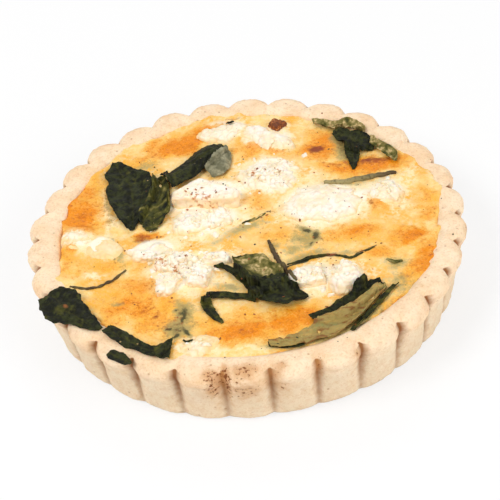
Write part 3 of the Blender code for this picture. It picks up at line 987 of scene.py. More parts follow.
# %% Make the lumps
def rough_block(name, seed):
    """A lump's bare form at its solid's place, remeshed into fine faces."""
    length, width, heading, rounding, slices, _, _, melted = LUMPS[name]
    length, width = length * MM, width * MM
    low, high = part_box(name)
    middle = (low + high) / 2 + LUMP_SHIFT
    turn = math.radians(heading)
    select_only(None)
    tall = high.z - low.z
    bevel = rounding * min(length, width, tall * 1.4)
    soft = rounding > SOFT_ROUNDING
    if soft:
        middle.z = SURFACE + (0.5 - 0.6 * melted) * MM
        tall = 2 * (high.z + (0.35 - 0.25 * melted) * MM - middle.z)
        bpy.ops.mesh.primitive_uv_sphere_add(segments=32, ring_count=16, radius=0.5, location=middle)
    else:
        bpy.ops.mesh.primitive_cube_add(size=1, location=middle)
    lump = bpy.context.object
    lump.name = lump.data.name = name + "_look"
    bpy.ops.object.mode_set(mode="EDIT")
    bpy.ops.transform.resize(value=(length, width, tall), center_override=middle)
    bpy.ops.transform.rotate(value=-turn, orient_axis="Z", center_override=middle)
    for start, end in BREAKS.get(name, []):
        break_off(start, end)
    bpy.ops.mesh.select_all(action="SELECT")
    if not soft:
        bpy.ops.mesh.bevel(offset=bevel, segments=3, affect="EDGES")
    for number in range(slices):
        slice_corner(middle, length, width, turn, seed * 10 + number)
    bpy.ops.mesh.select_all(action="SELECT")
    bpy.ops.mesh.normals_make_consistent(inside=False)
    bpy.ops.object.mode_set(mode="OBJECT")
    bpy.ops.object.transform_apply(location=True, rotation=True, scale=True)
    apply_modifier(lump, "REMESH", mode="VOXEL", voxel_size=VOXEL)
    apply_modifier(lump, "SMOOTH", factor=0.5, iterations=2)
    return lump, soft, high.z + 0.5 * MM


def make_lump(name, seed):
    """A lump with its uneven outline, its crumbs and the gaps between them."""
    crumb, melted = LUMPS[name][5], LUMPS[name][7]
    lump, soft, ceiling = rough_block(name, seed)
    points = points_of(lump.data)
    if soft:
        flat = points * np.array([1, 1, 0])
        points[:, 0] += 2.4 * MM * layered(flat, 7.5 * MM, seed + 11, 2)
        points[:, 1] += 2.4 * MM * layered(flat, 7.5 * MM, seed + 13, 2)
        points[:, 2] += 0.5 * MM * layered(flat, 5 * MM, seed + 15, 2)
        set_points(lump.data, points)
    out = normals_of(lump.data)
    coarse, grainy = layered(points, 3.2 * MM, seed, 2), layered(points, 1.1 * MM, seed + 3, 2)
    gaps = np.clip(0.12 - np.abs(rough(points, 2.3 * MM, seed + 5)), 0, 0.12) / 0.12
    push = crumb * MM * (0.55 * coarse + 0.35 * grainy) - crumb * MM * 0.45 * gaps
    sideways = (1 - np.abs(out[:, 2])) * 1.1 * MM * crumb**0.5
    push += sideways * layered(points, 4.5 * MM, seed + 7, 2)
    points += out * push[:, None]
    points[:, 2] = np.minimum(points[:, 2], ceiling)
    set_points(lump.data, points)
    above = points[:, 2] - SURFACE - 0.8 * MM
    # The gap attribute marks the crevices between crumbs, where the finish paints shade.
    keep_attributes(lump.data, gap=gaps, buried=np.maximum(1 - above / (1.9 * MM), 0.60 * melted))
    return lump


lumps = {name: make_lump(name, index + 1) for index, name in enumerate(LUMPS)}
print(len(lumps), "lumps of cheese,", sum(faces_of(o) for o in lumps.values()), "faces")

# %% [markdown]
# The oven browns the cheese in specks, mostly on one face of a lump, and its top stays nearly
# white. Where the specks may crowd together is an attribute that comes from a list of ovals.
# Painted shade tints the gaps between crumbs tan and makes the faces that turn sideways yellower.

# %% Cheese finish
TOAST_PLACES = [
    # x, y, half sizes, turn, strength: where the specks crowd together
    (-10.5, 9.4, 9.5, 2.6, -12, 0.85),
    (-16, 10.6, 4, 1.6, -10, 0.6),
    (3.6, 20.2, 1.8, 3.0, 0, 1.0),
    (9.6, 20.2, 2.6, 1.8, 0, 0.95),
    (-24, -14.4, 4.2, 2.2, -20, 1.0),
    (-19.5, -17.4, 2.8, 2.2, 0, 1.0),
    (-14, -22.3, 2.6, 1.4, 0, 0.9),
    (20.4, -20.3, 1.8, 2.6, 0, 1.0),
    (-1.0, 48.7, 4.0, 1.2, 0, 0.9),
    (35.0, 3.7, 1.4, 2.2, 0, 0.8),
]
for name, lump in lumps.items():
    points = points_of(lump.data)
    crowd = oval_mask(points[:, 0], points[:, 1], TOAST_PLACES)
    keep_attributes(lump.data, toasted=np.maximum(crowd, 0.30 * LUMPS[name][6]))

curd = Finish("white_cheese")
white_curd, cream_curd, yellow_curd = (254, 245, 230), (252, 228, 186), (250, 208, 134)
# The tan for the gaps is painted shade.
grey_curd, gap_shade_tan = (226, 208, 188), (214, 180, 132)
crust_brown, dark_speck = (192, 116, 46), (120, 58, 24)
wide, middling, small = curd.noises((4.5, 3), (1.4, 3), (0.55, 2))
up = curd.add("SeparateXYZ", None, {0: curd.add("NewGeometry", output="Normal")}, 2)
buried = curd.attribute("buried") + (middling - 0.5) * 0.5
crowd = curd.attribute("toasted")
tint = curd.coats(
    white_curd,
    (wide.above(0.44, 0.20) * 0.75, cream_curd),
    (middling.above(0.52, 0.16) * 0.42, grey_curd),
    # painted shade: faces that turn away from straight up are tinted yellower than the top
    ((1 - up).above(0.25, 0.6) * 0.40, yellow_curd),
    (buried.above(0.30, 0.55) * 0.85, cream_curd),
    (buried.above(0.60, 0.45) * 0.80, yellow_curd),
    # painted shade in the gaps between crumbs
    (curd.attribute("gap") * 0.35, gap_shade_tan),
    ((crowd * 0.5 + middling * 0.8).above(0.80, 0.25) * 0.35, yellow_curd),
    ((crowd * 0.50 + small * 0.4 + middling * 0.8).above(1.00, 0.14) * 0.85, crust_brown),
    ((crowd * 0.30 + small * 1.0).above(0.97, 0.08), dark_speck),
    (curd.flecks(3.6 * MM, 0.20, 0.26 * MM) * 0.8, dark_speck),
)
grain = curd.bump(middling + small * 0.5, 0.30, 0.2 * MM)
curd.done(tint, 0.62 + middling * 0.15, grain, Subsurface_Weight=0.15, Subsurface_Scale=1.5 * MM)
for name, lump in lumps.items():
    finish_piece(lump, curd.material, "cheese", name)
print("cheese finish on", len(lumps), "lumps")

# %% [markdown]
# ## What lies below the leaves
# Leaves and flecks rest on whatever is highest at their place, so a search tree holds every
# surface so far and answers how high it is at a point.


# %% A bed to lie on
class Bed:
    """The surfaces that later pieces rest on."""

    def __init__(self, things):
        self.trees = [self.tree_of(thing) for thing in things]

    def tree_of(self, thing):
        mesh = thing.data
        corners = [v.co.copy() for v in mesh.vertices]
        return BVHTree.FromPolygons(corners, [p.vertices[:] for p in mesh.polygons])

    def add(self, thing):
        self.trees.append(self.tree_of(thing))

    def hit(self, x, y):
        """Height and slope of the highest surface at a point, or nothing off the quiche."""
        best = None
        for tree in self.trees:
            place, slope, _, _ = tree.ray_cast(Vector((x, y, 0.06)), Vector((0, 0, -1)))
            if place is not None and (best is None or place.z > best[0].z):
                best = (place, slope)
        return best

    def height(self, x, y, reach=0.0):
        """The highest surface near a point; past the rim a leaf sticks out level."""
        spots = [(x, y)]
        if reach:
            spots += [(x + reach, y), (x - reach, y), (x, y + reach), (x, y - reach)]
        found = [self.hit(*place) for place in spots]
        return max([RIM_HEIGHT - 1.0 * MM] + [f[0].z for f in found if f])


bed = Bed([case, custard, *lumps.values()])
print("bed of", len(bed.trees), "surfaces")

# %% [markdown]
# ## The leaves
# Wilted spinach is thin, dark and puckered between its veins, and its edges curl. Each leaf is
# a fine grid stretched between its two edges, which the table gives. Side veins run forward
# from the rib, the blade swells between them, and the whole is laid over what is below it. A
# cloth simulation could drape it too, but this way is quick and gives the same leaf each run.
# A wall modifier gives it its thickness.

# %% Tables for the leaves
LEAVES = {
    # the leaf's two edges from stalk to tip, left then right, as points in mm; then how far
    # each edge is turned up in degrees, pucker in mm, olive share (olive tone with painted highlight),
    # paler middle, lift in mm
    "leaf_broad": (
        [(-36, 35.7), (-38.5, 28.7), (-37.8, 20.7), (-36.5, 12.7), (-34, 6.7), (-31.5, 2.7)],
        [(-35, 35.2), (-29.5, 30.2), (-24.6, 26.2), (-25, 17.7), (-28, 10.2), (-30.8, 2.7)],
        16, 24, 0.55, 0.02, 0, 0.15,
    ),
    "leaf_folded": (
        [(-21.5, 26.7), (-20.3, 21.2), (-19.8, 15.2), (-20.5, 10.2), (-22.5, 4.7), (-25.2, 1.1)],
        [(-24.8, 26.7), (-25, 19.7), (-28, 11.7), (-29.4, 7.7), (-28.6, 3.7), (-26.2, 1.1)],
        30, 10, 0.5, 0.34, 0.2, 0.0,
    ),
    "leaf_rolled": (
        [(-23.2, 25.8), (-19, 28.6), (-15, 32.2), (-11.5, 36.2), (-8, 38.4), (-4.6, 37.6)],
        [(-19.6, 18.4), (-16.6, 20.8), (-12.8, 23.6), (-9.4, 26.6), (-6, 30.6), (-2.8, 34.6)],
        -42, -30, 0.3, -0.05, 0, 0.35,
    ),
    "leaf_back_dark": (
        [(27.5, 38.5), (31, 38.1), (35, 36.3), (37.5, 33.3), (38.6, 30), (38.2, 27.5)],
        [(27, 36), (28.5, 33), (31.2, 29.5), (33.4, 27.1), (35.5, 26.5), (37, 26.9)],
        20, 24, 0.6, 0, 0, 0.15,
    ),
    "leaf_back_strip": (
        [(22, 45.4), (25, 43.8), (29, 42), (33, 42.2), (35.6, 39.4), (37.2, 36.7)],
        [(22.4, 42.2), (25, 41), (28.6, 38.8), (32, 38.2), (34.4, 36.6), (36.2, 35.4)],
        34, 40, 0.45, 0.92, 0.15, 0.35,
    ),
    "leaf_back_tail": (
        [(35, 29.2), (34.2, 26.2), (33.4, 23.7), (32.8, 21.7), (32.3, 19.9), (31.6, 18.7)],
        [(30, 30.2), (29.8, 27.2), (30.2, 24.7), (30.5, 22.2), (30.7, 20.2), (31, 18.7)],
        15, 15, 0.4, 0.1, 0, 0,
    ),
    "leaf_back_flap": (
        [(37.6, 32.4), (40.5, 30.4), (43, 27.6), (44.3, 24.8), (44.3, 22.2), (43.6, 20.6)],
        [(37, 29.6), (38.8, 27.6), (40.2, 25.4), (41.4, 23.4), (42.2, 21.8), (42.9, 20.6)],
        30, 25, 0.4, 0.85, 0.1, 0.3,
    ),
    "leaf_cup": (
        [(-3.2, -13.1), (0.4, -13.5), (4.2, -15.3), (6.6, -17.9), (8, -20.8), (8.6, -23.8)],
        [(-4.8, -14.1), (-5.2, -17.1), (-3.4, -21.3), (-0.8, -25.3), (2.2, -27.9), (6, -27.8)],
        26, 50, 0.28, 0.0, 1.0, 0.1,
    ),
    "leaf_cup_lip": (
        [(-0.6, -27.1), (2.2, -25), (5.2, -23.2), (8, -24.2), (10, -28.6), (13.8, -31.8)],
        [(-0.6, -29.1), (1.2, -32.8), (4.3, -35.8), (8, -36.4), (11, -34.8), (13.8, -32.8)],
        6, 36, 0.42, 0.04, 0, 0.3,
    ),
    "leaf_sliver": (
        [(-10.2, -16.8), (-6.8, -17), (-4.2, -18.6), (-2, -22.2), (0, -26), (1.6, -28.6)],
        [(-10.2, -17.4), (-7.2, -18.8), (-5.4, -21.4), (-3.2, -25.2), (-1, -28.6), (0.6, -31.1)],
        20, 30, 0.22, 0.12, 0, 0.45,
    ),
    "leaf_band": (
        [(-12.6, -26.5), (-9.4, -27.1), (-6, -27.9), (-3, -28.5), (0, -29.3), (2.4, -30.3)],
        [(-13.6, -29.1), (-10, -29.5), (-7, -30.1), (-4, -30.7), (-1, -31.7), (1.6, -32.7)],
        30, 30, 0.3, 0.16, 0, 0.15,
    ),
    "leaf_hook": (
        [(-11.4, -27.3), (-11.6, -29.8), (-10.8, -32.3), (-10.2, -34.3), (-9.4, -36.3), (-8.6, -38.1)],
        [(-14, -28.3), (-14.4, -30.8), (-13.6, -33.1), (-12.4, -35.3), (-10.8, -37.1), (-9.2, -38.5)],
        30, 25, 0.35, 0.16, 0.2, 0,
    ),
    "leaf_front": (
        [(12.4, -40.4), (17, -38.8), (21.4, -35.4), (25.4, -32.6), (29.4, -29), (32.6, -29.4)],
        [(13.8, -42.4), (19, -41.2), (24, -39.8), (27.4, -36.4), (30.8, -33), (33.8, -31.6)],
        24, 30, 0.45, 0.02, 0, 0.35,
    ),
    "leaf_front_far": (
        [(37.2, -31.3), (34.8, -34), (32, -37.8), (29.2, -41), (26.4, -43.8), (23.6, -48)],
        [(35.6, -31.1), (33, -34.2), (30.2, -37.6), (27.4, -41.2), (24.2, -44.8), (22.4, -48)],
        20, 30, 0.3, 0.1, 0.35, 0.2,
    ),
    "leaf_front_near": (
        [(1.6, -47.8), (3.4, -47.4), (5.2, -48), (7, -49), (9, -49.8), (11, -50.2)],
        [(1.8, -49.6), (3.4, -50), (5.2, -50.2), (7, -50.5), (9, -50.7), (11, -50.7)],
        20, 20, 0.2, 0.12, 0, 0.2,
    ),
    "leaf_rim": (
        [(-52, -18.7), (-47.3, -19.7), (-44.8, -23.9), (-42.8, -28.9), (-41.2, -32.9), (-39.4, -36.5)],
        [(-56.6, -20.9), (-56, -25.9), (-54.5, -30.4), (-50.5, -32.1), (-46, -34.7), (-41, -37.1)],
        14, 12, 0.55, 0.05, 0.0, 0.3,
    ),
    "leaf_edge": (
        [(-38, -35), (-34, -38.5), (-31, -42.2), (-27.8, -45.8), (-24.4, -45.4), (-21.6, -42.2)],
        [(-40, -37), (-37, -41.4), (-33.2, -45), (-29.6, -47.6), (-26, -49.6), (-22.6, -50.8)],
        20, 12, 0.55, 0.06, 0, 0.25,
    ),
    "leaf_flake": (
        [(-37.8, -44.7), (-36.4, -44.9), (-35, -45.8), (-33.8, -46.9), (-32.9, -48.1), (-32.4, -49.5)],
        [(-38.8, -45.5), (-38.4, -46.9), (-37, -48.2), (-35.6, -49.1), (-34.2, -49.8), (-32.9, -49.9)],
        10, 6, 0.15, -0.02, 0, 0.3,
    ),
}
LEAF_STEPS = (84, 34)
LEAF_WALL = 0.28 * MM
VEIN_GAP = 2.6 * MM
VEIN_SHARE = 0.13
RIB_WIDTH = 0.35 * MM
PUCKER_SIZE = 2.4 * MM
print(len(LEAVES), "leaves in the table")


# %% Lines and turned edges
def along(points, share):
    """Places along a line of points, with its corners slightly rounded."""
    stations = np.linspace(0, 1, len(points))
    total = np.zeros((len(share), 2))
    for step in (-0.05, 0.0, 0.05):
        near = np.clip(share + step, 0, 1)
        total += np.column_stack([np.interp(near, stations, column) for column in zip(*points)])
    return total / 3 * MM


def strip_edges(line, width):
    """The two edges of a narrow shred from its middle line and its width."""
    knots = np.array(line, dtype=float)
    run = np.gradient(knots, axis=0)
    run /= np.linalg.norm(run, axis=1)[:, None]
    half = width / 2 * np.sin(np.linspace(0.35, math.pi - 0.35, len(knots)))
    offset = np.column_stack([-run[:, 1], run[:, 0]]) * half[:, None]
    return (knots + offset).tolist(), (knots - offset).tolist()


def turned_edges(half, side, left, right):
    """How far out and up each point goes when the blade's two edges are turned."""
    turn = np.radians(np.where(side > 0, left, right)) * np.abs(side)
    turn = np.where(np.abs(turn) < 1e-3, 1e-3, turn)
    bend = half * np.abs(side) / turn
    return bend * np.sin(turn), bend * (1 - np.cos(turn))


print("leaf helpers ready")


# %% Make a leaf
def blade_plan(look, share, side, seed):
    """Each point's place in plan, the half width there, and how far the turned edge lifts it."""
    left_edge, right_edge, left, right = look[:4]
    one_edge, other_edge = along(left_edge, share), along(right_edge, share)
    spine, reach = (one_edge + other_edge) / 2, (one_edge - other_edge) / 2
    ragged = np.column_stack([share * 5.5, np.sign(side) * 3.1, 0 * share])
    uneven = 1 + 0.18 * rough(ragged, 1.0, seed) + 0.11 * rough(ragged, 0.32, seed + 4)
    reach *= uneven[:, None]
    half = np.maximum(np.linalg.norm(reach, axis=1), 1e-6)
    out, up = turned_edges(half, side, left, right)
    if min(left, right) < 0:
        full = math.radians(-min(left, right))
        up += half / full * (1 - math.cos(full))
    return spine + reach * (np.sign(side) * out / half)[:, None], half, up


def make_blade(name, look, seed):
    """A leaf with its veins and puckers, draped over the bed and given its thickness."""
    left_edge, _, _, _, pucker, olive, middle_olive, lift = look
    select_only(None)
    bpy.ops.mesh.primitive_grid_add(x_subdivisions=LEAF_STEPS[0], y_subdivisions=LEAF_STEPS[1], size=2)
    leaf = bpy.context.object
    leaf.name = leaf.data.name = name
    points = points_of(leaf.data)
    share, side = (points[:, 0] + 1) / 2, points[:, 1]
    share = np.clip(share + 0.02 * rough(points * np.array([2, 6, 0]), 1.0, seed + 2), 0, 1)
    plan, half, up = blade_plan(look, share, side, seed)
    whole = np.linalg.norm(np.array(left_edge[-1]) - np.array(left_edge[0])) * MM
    length = whole * share
    on_blade = np.column_stack([length, side * half, 0 * share])
    vein_run = (length + 0.8 * np.abs(side) * half) / VEIN_GAP
    vein_run += 0.5 * rough(on_blade, 4 * MM, seed + 6)
    vein = np.exp(-(((vein_run % 1 - 0.5) / VEIN_SHARE) ** 2)) * (np.abs(side) < 0.92)
    rib = np.exp(-((side * half / RIB_WIDTH) ** 2))
    swell = pucker * MM * (1.15 * layered(on_blade, PUCKER_SIZE, seed + 8, 3) + 0.25)
    curl = 0.5 * MM * np.abs(side) ** 3 * rough(on_blade, 3.5 * MM, seed + 9) * min(1, pucker * 3)
    relief = swell + curl - pucker * MM * (0.25 * vein + 0.40 * rib)
    ground = np.array([bed.height(x, y, 0.7 * MM) for x, y in plan])
    points[:, :2] = plan
    points[:, 2] = ground + (lift + 0.18) * MM + up + relief
    set_points(leaf.data, points)
    patchy = layered(on_blade, PUCKER_SIZE, seed + 12, 3)
    paler = middle_olive * np.clip(1.3 - 1.7 * np.abs(side - 0.3), 0, 1)
    # The olive attribute is partly the leaf's olive tone and partly painted highlight.
    keep_attributes(
        leaf.data, olive=olive + paler + 0.62 * patchy, vein=np.maximum(vein * 0.6, rib),
        edge=np.abs(side) ** 6, across=(side + 1) / 2,
    )
    apply_modifier(leaf, "SOLIDIFY", thickness=LEAF_WALL, offset=0.0)
    bed.add(leaf)
    return leaf


leaves = {}
for index, (name, look) in enumerate(LEAVES.items()):
    leaves[name] = make_blade(name + "_look", look, 60 + 7 * index)
print(len(leaves), "leaves,", sum(faces_of(o) for o in leaves.values()), "faces")

# %% [markdown]
# Smaller shreds of spinach lie half under the custard. They are made in the same way, from a
# short line each, and joined into one piece.

# %% Shreds of leaf
SHREDS = [
    # line in mm, width in mm, olive share (olive tone with painted highlight), lift in mm
    ([(-1.5, 0.2), (2.5, 1.6), (6.2, 4.2)], 1.0, 0.75, -0.34),
    ([(9.0, -18.8), (15.5, -16.8), (21.0, -16.2)], 1.1, 0.10, -0.12),
    ([(21.5, -16.4), (26.0, -19.2), (33.0, -15.2)], 0.8, 0.45, -0.22),
    ([(-19.4, -43.6), (-18.2, -44.6), (-16.8, -44.2)], 0.8, 0.10, -0.05),
    ([(35.2, -20.6), (37.2, -22.4), (39.4, -22.0)], 1.5, 0.80, -0.20),
    ([(-2.6, 46.2), (-1.5, 46.6), (-0.4, 46.0)], 2.4, 0.0, 0.10),
]
shreds = []
for index, (line, width, olive, lift) in enumerate(SHREDS):
    look = (*strip_edges(line, width), 20, 20, 0.22, olive, 0.0, lift)
    shreds.append(make_blade("shred_" + str(index), look, 300 + 5 * index))
select_only(shreds[0])
for shred in shreds:
    shred.select_set(True)
bpy.ops.object.join()
shreds = bpy.context.object
shreds.name = shreds.data.name = "leaf_shreds"
print("shreds", faces_of(shreds), "faces")

# %% [markdown]
# One long leaf at the front lies under a thin skin of custard. It is olive along the rim and
# orange on its inner side, with brown streaks, so it gets its own finish. It is made here only.

# %% The coated leaf
coated_look = (
    [(1.5, -48.2), (6, -46.6), (12, -43.6), (18, -40.8), (25, -37.4), (32, -30.6)],
    [(2, -50.2), (8, -50.6), (14, -49.8), (20, -47.6), (26, -42.6), (34.5, -31.6)],
    6, 24, 0.46, 0.9, 0.0, -0.12,
)
coated = make_blade("coated_leaf", coated_look, 411)
print("coated leaf", faces_of(coated), "faces")

# %% [markdown]
# The far end of the rolled leaf folds over and shows its grey-green underside.

# %% The folded-over end
flap_look = (
    [(-10, 26.2), (-8.4, 28.6), (-6.4, 31), (-4.6, 33.2), (-3.4, 34.6)],
    [(-8.4, 23), (-5.8, 23.2), (-3.6, 25.2), (-2, 28.6), (-2.2, 33.2)],
    -10, -46, 0.25, 0.50, 0.2, 0.25,
)
flap = make_blade("rolled_leaf_end", flap_look, 431)
print("folded-over end", faces_of(flap), "faces")

# %% [markdown]
# Cooked spinach is nearly black-green, paler along the veins and where it dried, with a weak
# shine; its olive patches are partly painted highlight. The leaf's own attributes carry the veins
# and the olive places, because a pattern in space would not follow its folds.

# %% Leaf finish
blade = Finish("wilted_leaf")
black_green, deep_green, olive_green = (18, 20, 8), (48, 52, 22), (84, 82, 26)
# The drier olive is partly dried leaf and partly painted highlight.
dry_olive, streak_cream, edge_dark = (142, 128, 72), (222, 192, 138), (28, 30, 12)
crumb_brown, spot_brown, crumb_cream = (160, 100, 52), (150, 92, 48), (214, 176, 120)
wide, small = blade.noises((2.6, 3), (0.8, 3))
olive = blade.attribute("olive")
tint = blade.coats(
    black_green,
    ((wide + (small - 0.5) * 0.7).above(0.44, 0.20), deep_green),
    # olive tone that is partly painted highlight, in this coat and the next two
    ((olive + small * 0.5).above(0.52, 0.40) * 0.85, olive_green),
    ((olive + small * 0.6).above(0.95, 0.30) * 0.9, dry_olive),
    ((olive + small * 0.7).above(1.30, 0.16) * 0.9, streak_cream),
    (blade.attribute("vein") * 0.22, olive_green),
    ((blade.attribute("edge") + small * 0.4).above(0.55, 0.4) * 0.85, edge_dark),
    (blade.flecks(3.0 * MM, 0.16, 0.50 * MM) * 0.85, crumb_brown),
    (blade.flecks(5.0 * MM, 0.20, 0.95 * MM) * 0.8, spot_brown),
    (blade.flecks(2.2 * MM, 0.08, 0.30 * MM) * 0.8, crumb_cream),
)
crinkle = blade.bump(small + wide * 0.8, 0.55, 0.3 * MM)
blade.done(tint, 0.46 + small * 0.25, crinkle, Specular_IOR_Level=0.18)
for name, leaf in leaves.items():
    finish_piece(leaf, blade.material, "spinach", name)
finish_piece(shreds, blade.material, "spinach")
print("leaf finish on", len(leaves) + 1, "pieces")

# %% Finishes for the underside and the coated leaf
under = Finish("leaf_underside")
small, wide = under.noises((0.8, 3), (2.4, 3))
tint = under.coats(
    (108, 106, 80),
    (wide.above(0.40, 0.25), (160, 154, 124)),
    (small.above(0.55, 0.15) * 0.5, (68, 68, 46)),
    (under.attribute("edge") * 0.9, (34, 36, 20)),
)
crinkle = under.bump(small + wide * 0.8, 0.5, 0.3 * MM)
under.done(tint, 0.5 + small * 0.2, crinkle, Specular_IOR_Level=0.3)
finish_piece(flap, under.material, "spinach")

veil = Finish("coated_leaf")
stretched = {"Vector": veil.place, "Rotation": (0, 0, -0.66), "Scale": (0.35, 1.4, 1.0)}
streaks = veil.noise(2.0 * MM, 4, veil.add("Mapping", {"vector_type": "POINT"}, stretched))
wide, small = veil.noises((5.0, 3), (0.9, 3))
across = veil.attribute("across") + (wide - 0.5) * 0.7
tint = veil.coats(
    (212, 156, 80),
    (wide.above(0.42, 0.2), (170, 146, 82)),
    ((1 - across).above(0.34, 0.30) * 0.92, (132, 132, 80)),
    (across.above(0.54, 0.30) * 0.85, (232, 150, 56)),
    (streaks.above(0.50, 0.12) * 0.75, (122, 66, 26)),
    ((1 - streaks).above(0.60, 0.12) * 0.35, (216, 170, 96)),
    (small.above(0.60, 0.1) * 0.45, (120, 62, 26)),
)
veil_bump = veil.bump(streaks + small * 0.4, 0.3, 0.3 * MM)
veil.done(
    tint, 0.46 + small * 0.15, veil_bump, Subsurface_Weight=0.1, Subsurface_Scale=1.5 * MM,
    Specular_IOR_Level=0.2,
)
finish_piece(coated, veil.material, "spinach")
print("underside on", flap.name, "and veil on", coated.name)

# %% [markdown]
# ## Stalks and the toasted flake
# A stalk is a round curve that lies on the custard and tapers to its end. It is made a mesh,
# and its surface is roughened, because the real ones are dried and ridged.

# %% Stalks
STALKS = {
    # points of its line in mm, thickest radius in mm
    "stem_left": (
        [(-48.5, -17.6), (-44.5, -18.4), (-40.5, -18.6), (-37.0, -16.6), (-33.0, -12.6)], 0.40
    ),
    "stem_cup": ([(5.2, -7.8), (6.0, -12.5), (7.2, -17.5), (9.2, -23.0), (11.2, -28.4)], 0.66),
    "stem_back": ([(22.2, 14.2), (27.5, 12.8), (33.0, 14.0), (38.5, 15.2), (43.0, 15.0)], 0.85),
}
STALK_STEPS = 56


def make_stalk(name, seed):
    """A round stalk that lies along its line on the bed."""
    line, thick = STALKS[name]
    curve = bpy.data.curves.new(name + "_look", "CURVE")
    curve.dimensions = "3D"
    curve.bevel_depth = thick * MM
    curve.bevel_resolution = 4
    curve.use_fill_caps = True
    run = curve.splines.new("POLY")
    run.points.add(STALK_STEPS)
    middle_line = along(line, np.linspace(0, 1, STALK_STEPS + 1))
    for step, (knot, (x, y)) in enumerate(zip(run.points, middle_line)):
        share = step / STALK_STEPS
        y += 0.35 * MM * noise.noise(Vector((share * 5, seed, 0)))
        ground = bed.height(x, y, 0.3 * MM)
        knot.co = (x, y, ground + 0.35 * thick * MM, 1)
        taper = 0.40 + 0.60 * math.sin(math.pi * (0.12 + 0.8 * share))
        knot.radius = taper * (1 + 0.35 * noise.noise(Vector((share * 14, seed, 3))))
    stalk = bpy.data.objects.new(name + "_look", curve)
    bpy.context.scene.collection.objects.link(stalk)
    select_only(stalk)
    bpy.ops.object.convert(target="MESH")
    stalk = bpy.context.object
    points = points_of(stalk.data)
    points += normals_of(stalk.data) * (0.16 * MM * layered(points, 1.2 * MM, seed))[:, None]
    set_points(stalk.data, points)
    along_it = (points[:, 0] - points[:, 0].min()) / np.ptp(points[:, 0])
    pale = np.clip(1.3 - 1.4 * along_it, 0, 1) if name == "stem_back" else 0 * along_it
    keep_attributes(stalk.data, pale=pale)
    return stalk


stalk_finish = Finish("dried_stalk")
small, wide = stalk_finish.noises((0.9, 3), (4, 2))
tint = stalk_finish.coats(
    (70, 52, 24),
    (wide.above(0.42, 0.2), (96, 82, 40)),
    (stalk_finish.attribute("pale"), (158, 144, 96)),
    (small.above(0.5, 0.2) * 0.6, (56, 44, 22)),
)
stalk_finish.done(tint, 0.6 + small * 0.2, stalk_finish.bump(small, 0.4, 0.2 * MM))
stalks = {name: make_stalk(name, 3 + index) for index, name in enumerate(STALKS)}
for name, stalk in stalks.items():
    finish_piece(stalk, stalk_finish.material, "stem", name)
print(len(stalks), "stalks")

# %% [markdown]
# The dark flake near the back rim is a scrap that browned hard. It is a small block, sliced
# and roughened like the cheese, with a much darker finish.

# %% Toasted flake
LUMPS["toasted_flake"] = (6.2, 4.0, -38, 0.20, 1, 0.80, 0.0, 0.0)
flake = make_lump("toasted_flake", 77)
burnt = Finish("browned_flake")
small = burnt.noise(0.8 * MM, 3)
tint = burnt.coats(
    (104, 48, 8),
    (small.above(0.42, 0.25), (168, 90, 26)),
    (small.above(0.62, 0.1), (206, 146, 84)),
)
burnt.done(tint, 0.6 + small * 0.2, burnt.bump(small, 0.5, 0.3 * MM))
finish_piece(flake, burnt.material, "toasted", "toasted_flake")
bed.add(flake)
print("toasted flake", faces_of(flake), "faces")

# %% [markdown]
# ## Crumbs and flecks
# Loose crumbs of cheese lie round the broken lumps, and dark flecks of herb and browned
# specks are scattered over the top. Each kind is one mesh, made of small uneven grains of
# eighty faces each, and each grain lies at its own place and angle on what is below it.

# %% Scatter grains
GRAIN_GROUPS = {
    # kind: (middle x, middle y, half spread x, half spread y, number), all in mm
    "cheese_crumbs": [
        (-20, -16, 8.5, 7, 150),
        (-12, 3, 10, 5, 70),
        (7.5, 20, 8, 8, 70),
        (18, -25.5, 9, 4, 50),
        (-12, -13, 5, 3, 24),
        (38, 8, 5, 5, 26),
        (-15, -46, 5, 2, 8),
    ],
    "herb_flecks": [(0, 0, 44, 44, 48), (22, 6, 9, 6, 3), (-8, 20, 7, 4, 8), (2, -50, 16, 1.4, 6)],
    "brown_specks": [
        (0, 0, 42, 42, 110),
        (-11, 11, 9, 3, 16),
        (-20, -12, 6, 4, 18),
        (6, 21.5, 5, 3, 14),
        (20, -20, 3, 3, 8),
    ],
}
FARTHEST_GRAIN = 57
GRAIN_SIZES = {
    # smallest and largest half length in mm, flatness, how far it sinks
    "cheese_crumbs": (0.35, 1.25, 0.62, 0.62),
    "herb_flecks": (0.12, 0.36, 0.35, 0.10),
    "brown_specks": (0.14, 0.36, 0.50, 0.20),
}


def grain_shape():
    """Corners and faces of one round grain with eighty faces."""
    select_only(None)
    bpy.ops.mesh.primitive_ico_sphere_add(subdivisions=2, radius=1)
    ball = bpy.context.object
    corners = points_of(ball.data)
    faces = [tuple(p.vertices) for p in ball.data.polygons]
    bpy.data.objects.remove(ball)
    return corners, faces


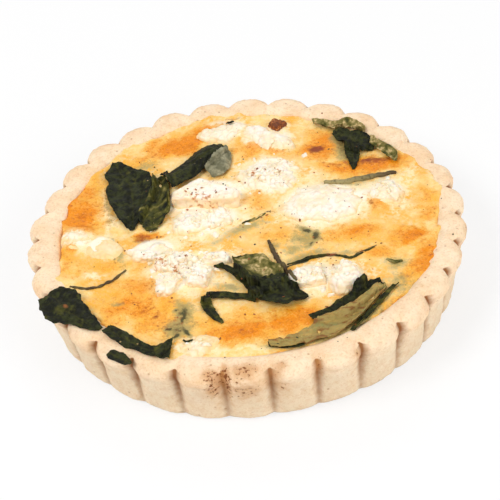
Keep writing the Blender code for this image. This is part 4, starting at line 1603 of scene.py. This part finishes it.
def scatter(kind, bed, seed):
    """One mesh of grains of a kind, laid on the bed in the groups of the table."""
    choice = np.random.default_rng(seed)
    smallest, largest, flatness, sink = GRAIN_SIZES[kind]
    corners, faces = grain_shape()
    all_corners, all_faces = [], []
    for middle_x, middle_y, half_x, half_y, number in GRAIN_GROUPS[kind]:
        for _ in range(number):
            x, y = np.array([middle_x, middle_y]) + choice.normal(0, 0.5, 2) * (half_x, half_y)
            landed = bed.hit(x * MM, y * MM)
            if landed is None or math.hypot(x, y) > FARTHEST_GRAIN:
                continue
            size = smallest + (largest - smallest) * choice.random() ** 2
            stretch = choice.uniform([0.8, 0.55, flatness * 0.8], [1.35, 1.0, flatness * 1.2])
            wobble = 1 + 0.75 * rough(corners, 0.9, choice.uniform(0, 90))
            uneven = corners * wobble[:, None] * stretch * size * MM
            spin = Matrix.Rotation(choice.uniform(0, 6.28), 3, "Z")
            tilt = Vector((0, 0, 1)).rotation_difference(landed[1]).to_matrix()
            turned = uneven @ np.array(tilt @ spin).T
            base = len(all_corners) * len(corners)
            place = landed[0] + landed[1] * (size * flatness * (1 - 2 * sink) * MM)
            all_corners.append(turned + np.array(place))
            all_faces += [tuple(base + corner for corner in face) for face in faces]
    mesh = bpy.data.meshes.new(kind)
    mesh.from_pydata(np.vstack(all_corners).tolist(), [], all_faces)
    mesh.update()
    grains = bpy.data.objects.new(kind, mesh)
    bpy.context.scene.collection.objects.link(grains)
    print(kind, len(all_corners), "grains")
    return grains


grain_finishes = {}
for name, base, over, size, roughness in [
    ("dried_herb", (40, 36, 22), (84, 78, 44), 1.0, 0.7),
    ("browned_speck", (128, 62, 26), (186, 112, 56), 1.2, 0.65),
]:
    finish = Finish(name)
    tint = finish.coats(base, (finish.noise(size * MM, 2).above(0.4, 0.2), over))
    grain_finishes[name] = finish.done(tint, roughness)

crumbs = scatter("cheese_crumbs", Bed([custard, *lumps.values()]), 5)
points = points_of(crumbs.data)
crowd = np.maximum(0.25, oval_mask(points[:, 0], points[:, 1], TOAST_PLACES))
keep_attributes(crumbs.data, toasted=crowd, buried=np.full(len(points), 0.15))
finish_piece(crumbs, curd.material, "cheese")
finish_piece(scatter("herb_flecks", bed, 6), grain_finishes["dried_herb"], "spinach")
finish_piece(scatter("brown_specks", bed, 7), grain_finishes["browned_speck"], "toasted")

# %% [markdown]
# ## Closing
# The sizes of both boxes, the plain solids' and the made pieces', are printed in mm. The made
# pieces must stay inside the plain solids' box, apart from a small allowance.

# %% Print the sizes
looks_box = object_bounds()
for name, (low, high) in {"solid": solid_box, "looks": looks_box}.items():
    print(name, [round((b - a) / MM, 1) for a, b in zip(low, high)], "mm")
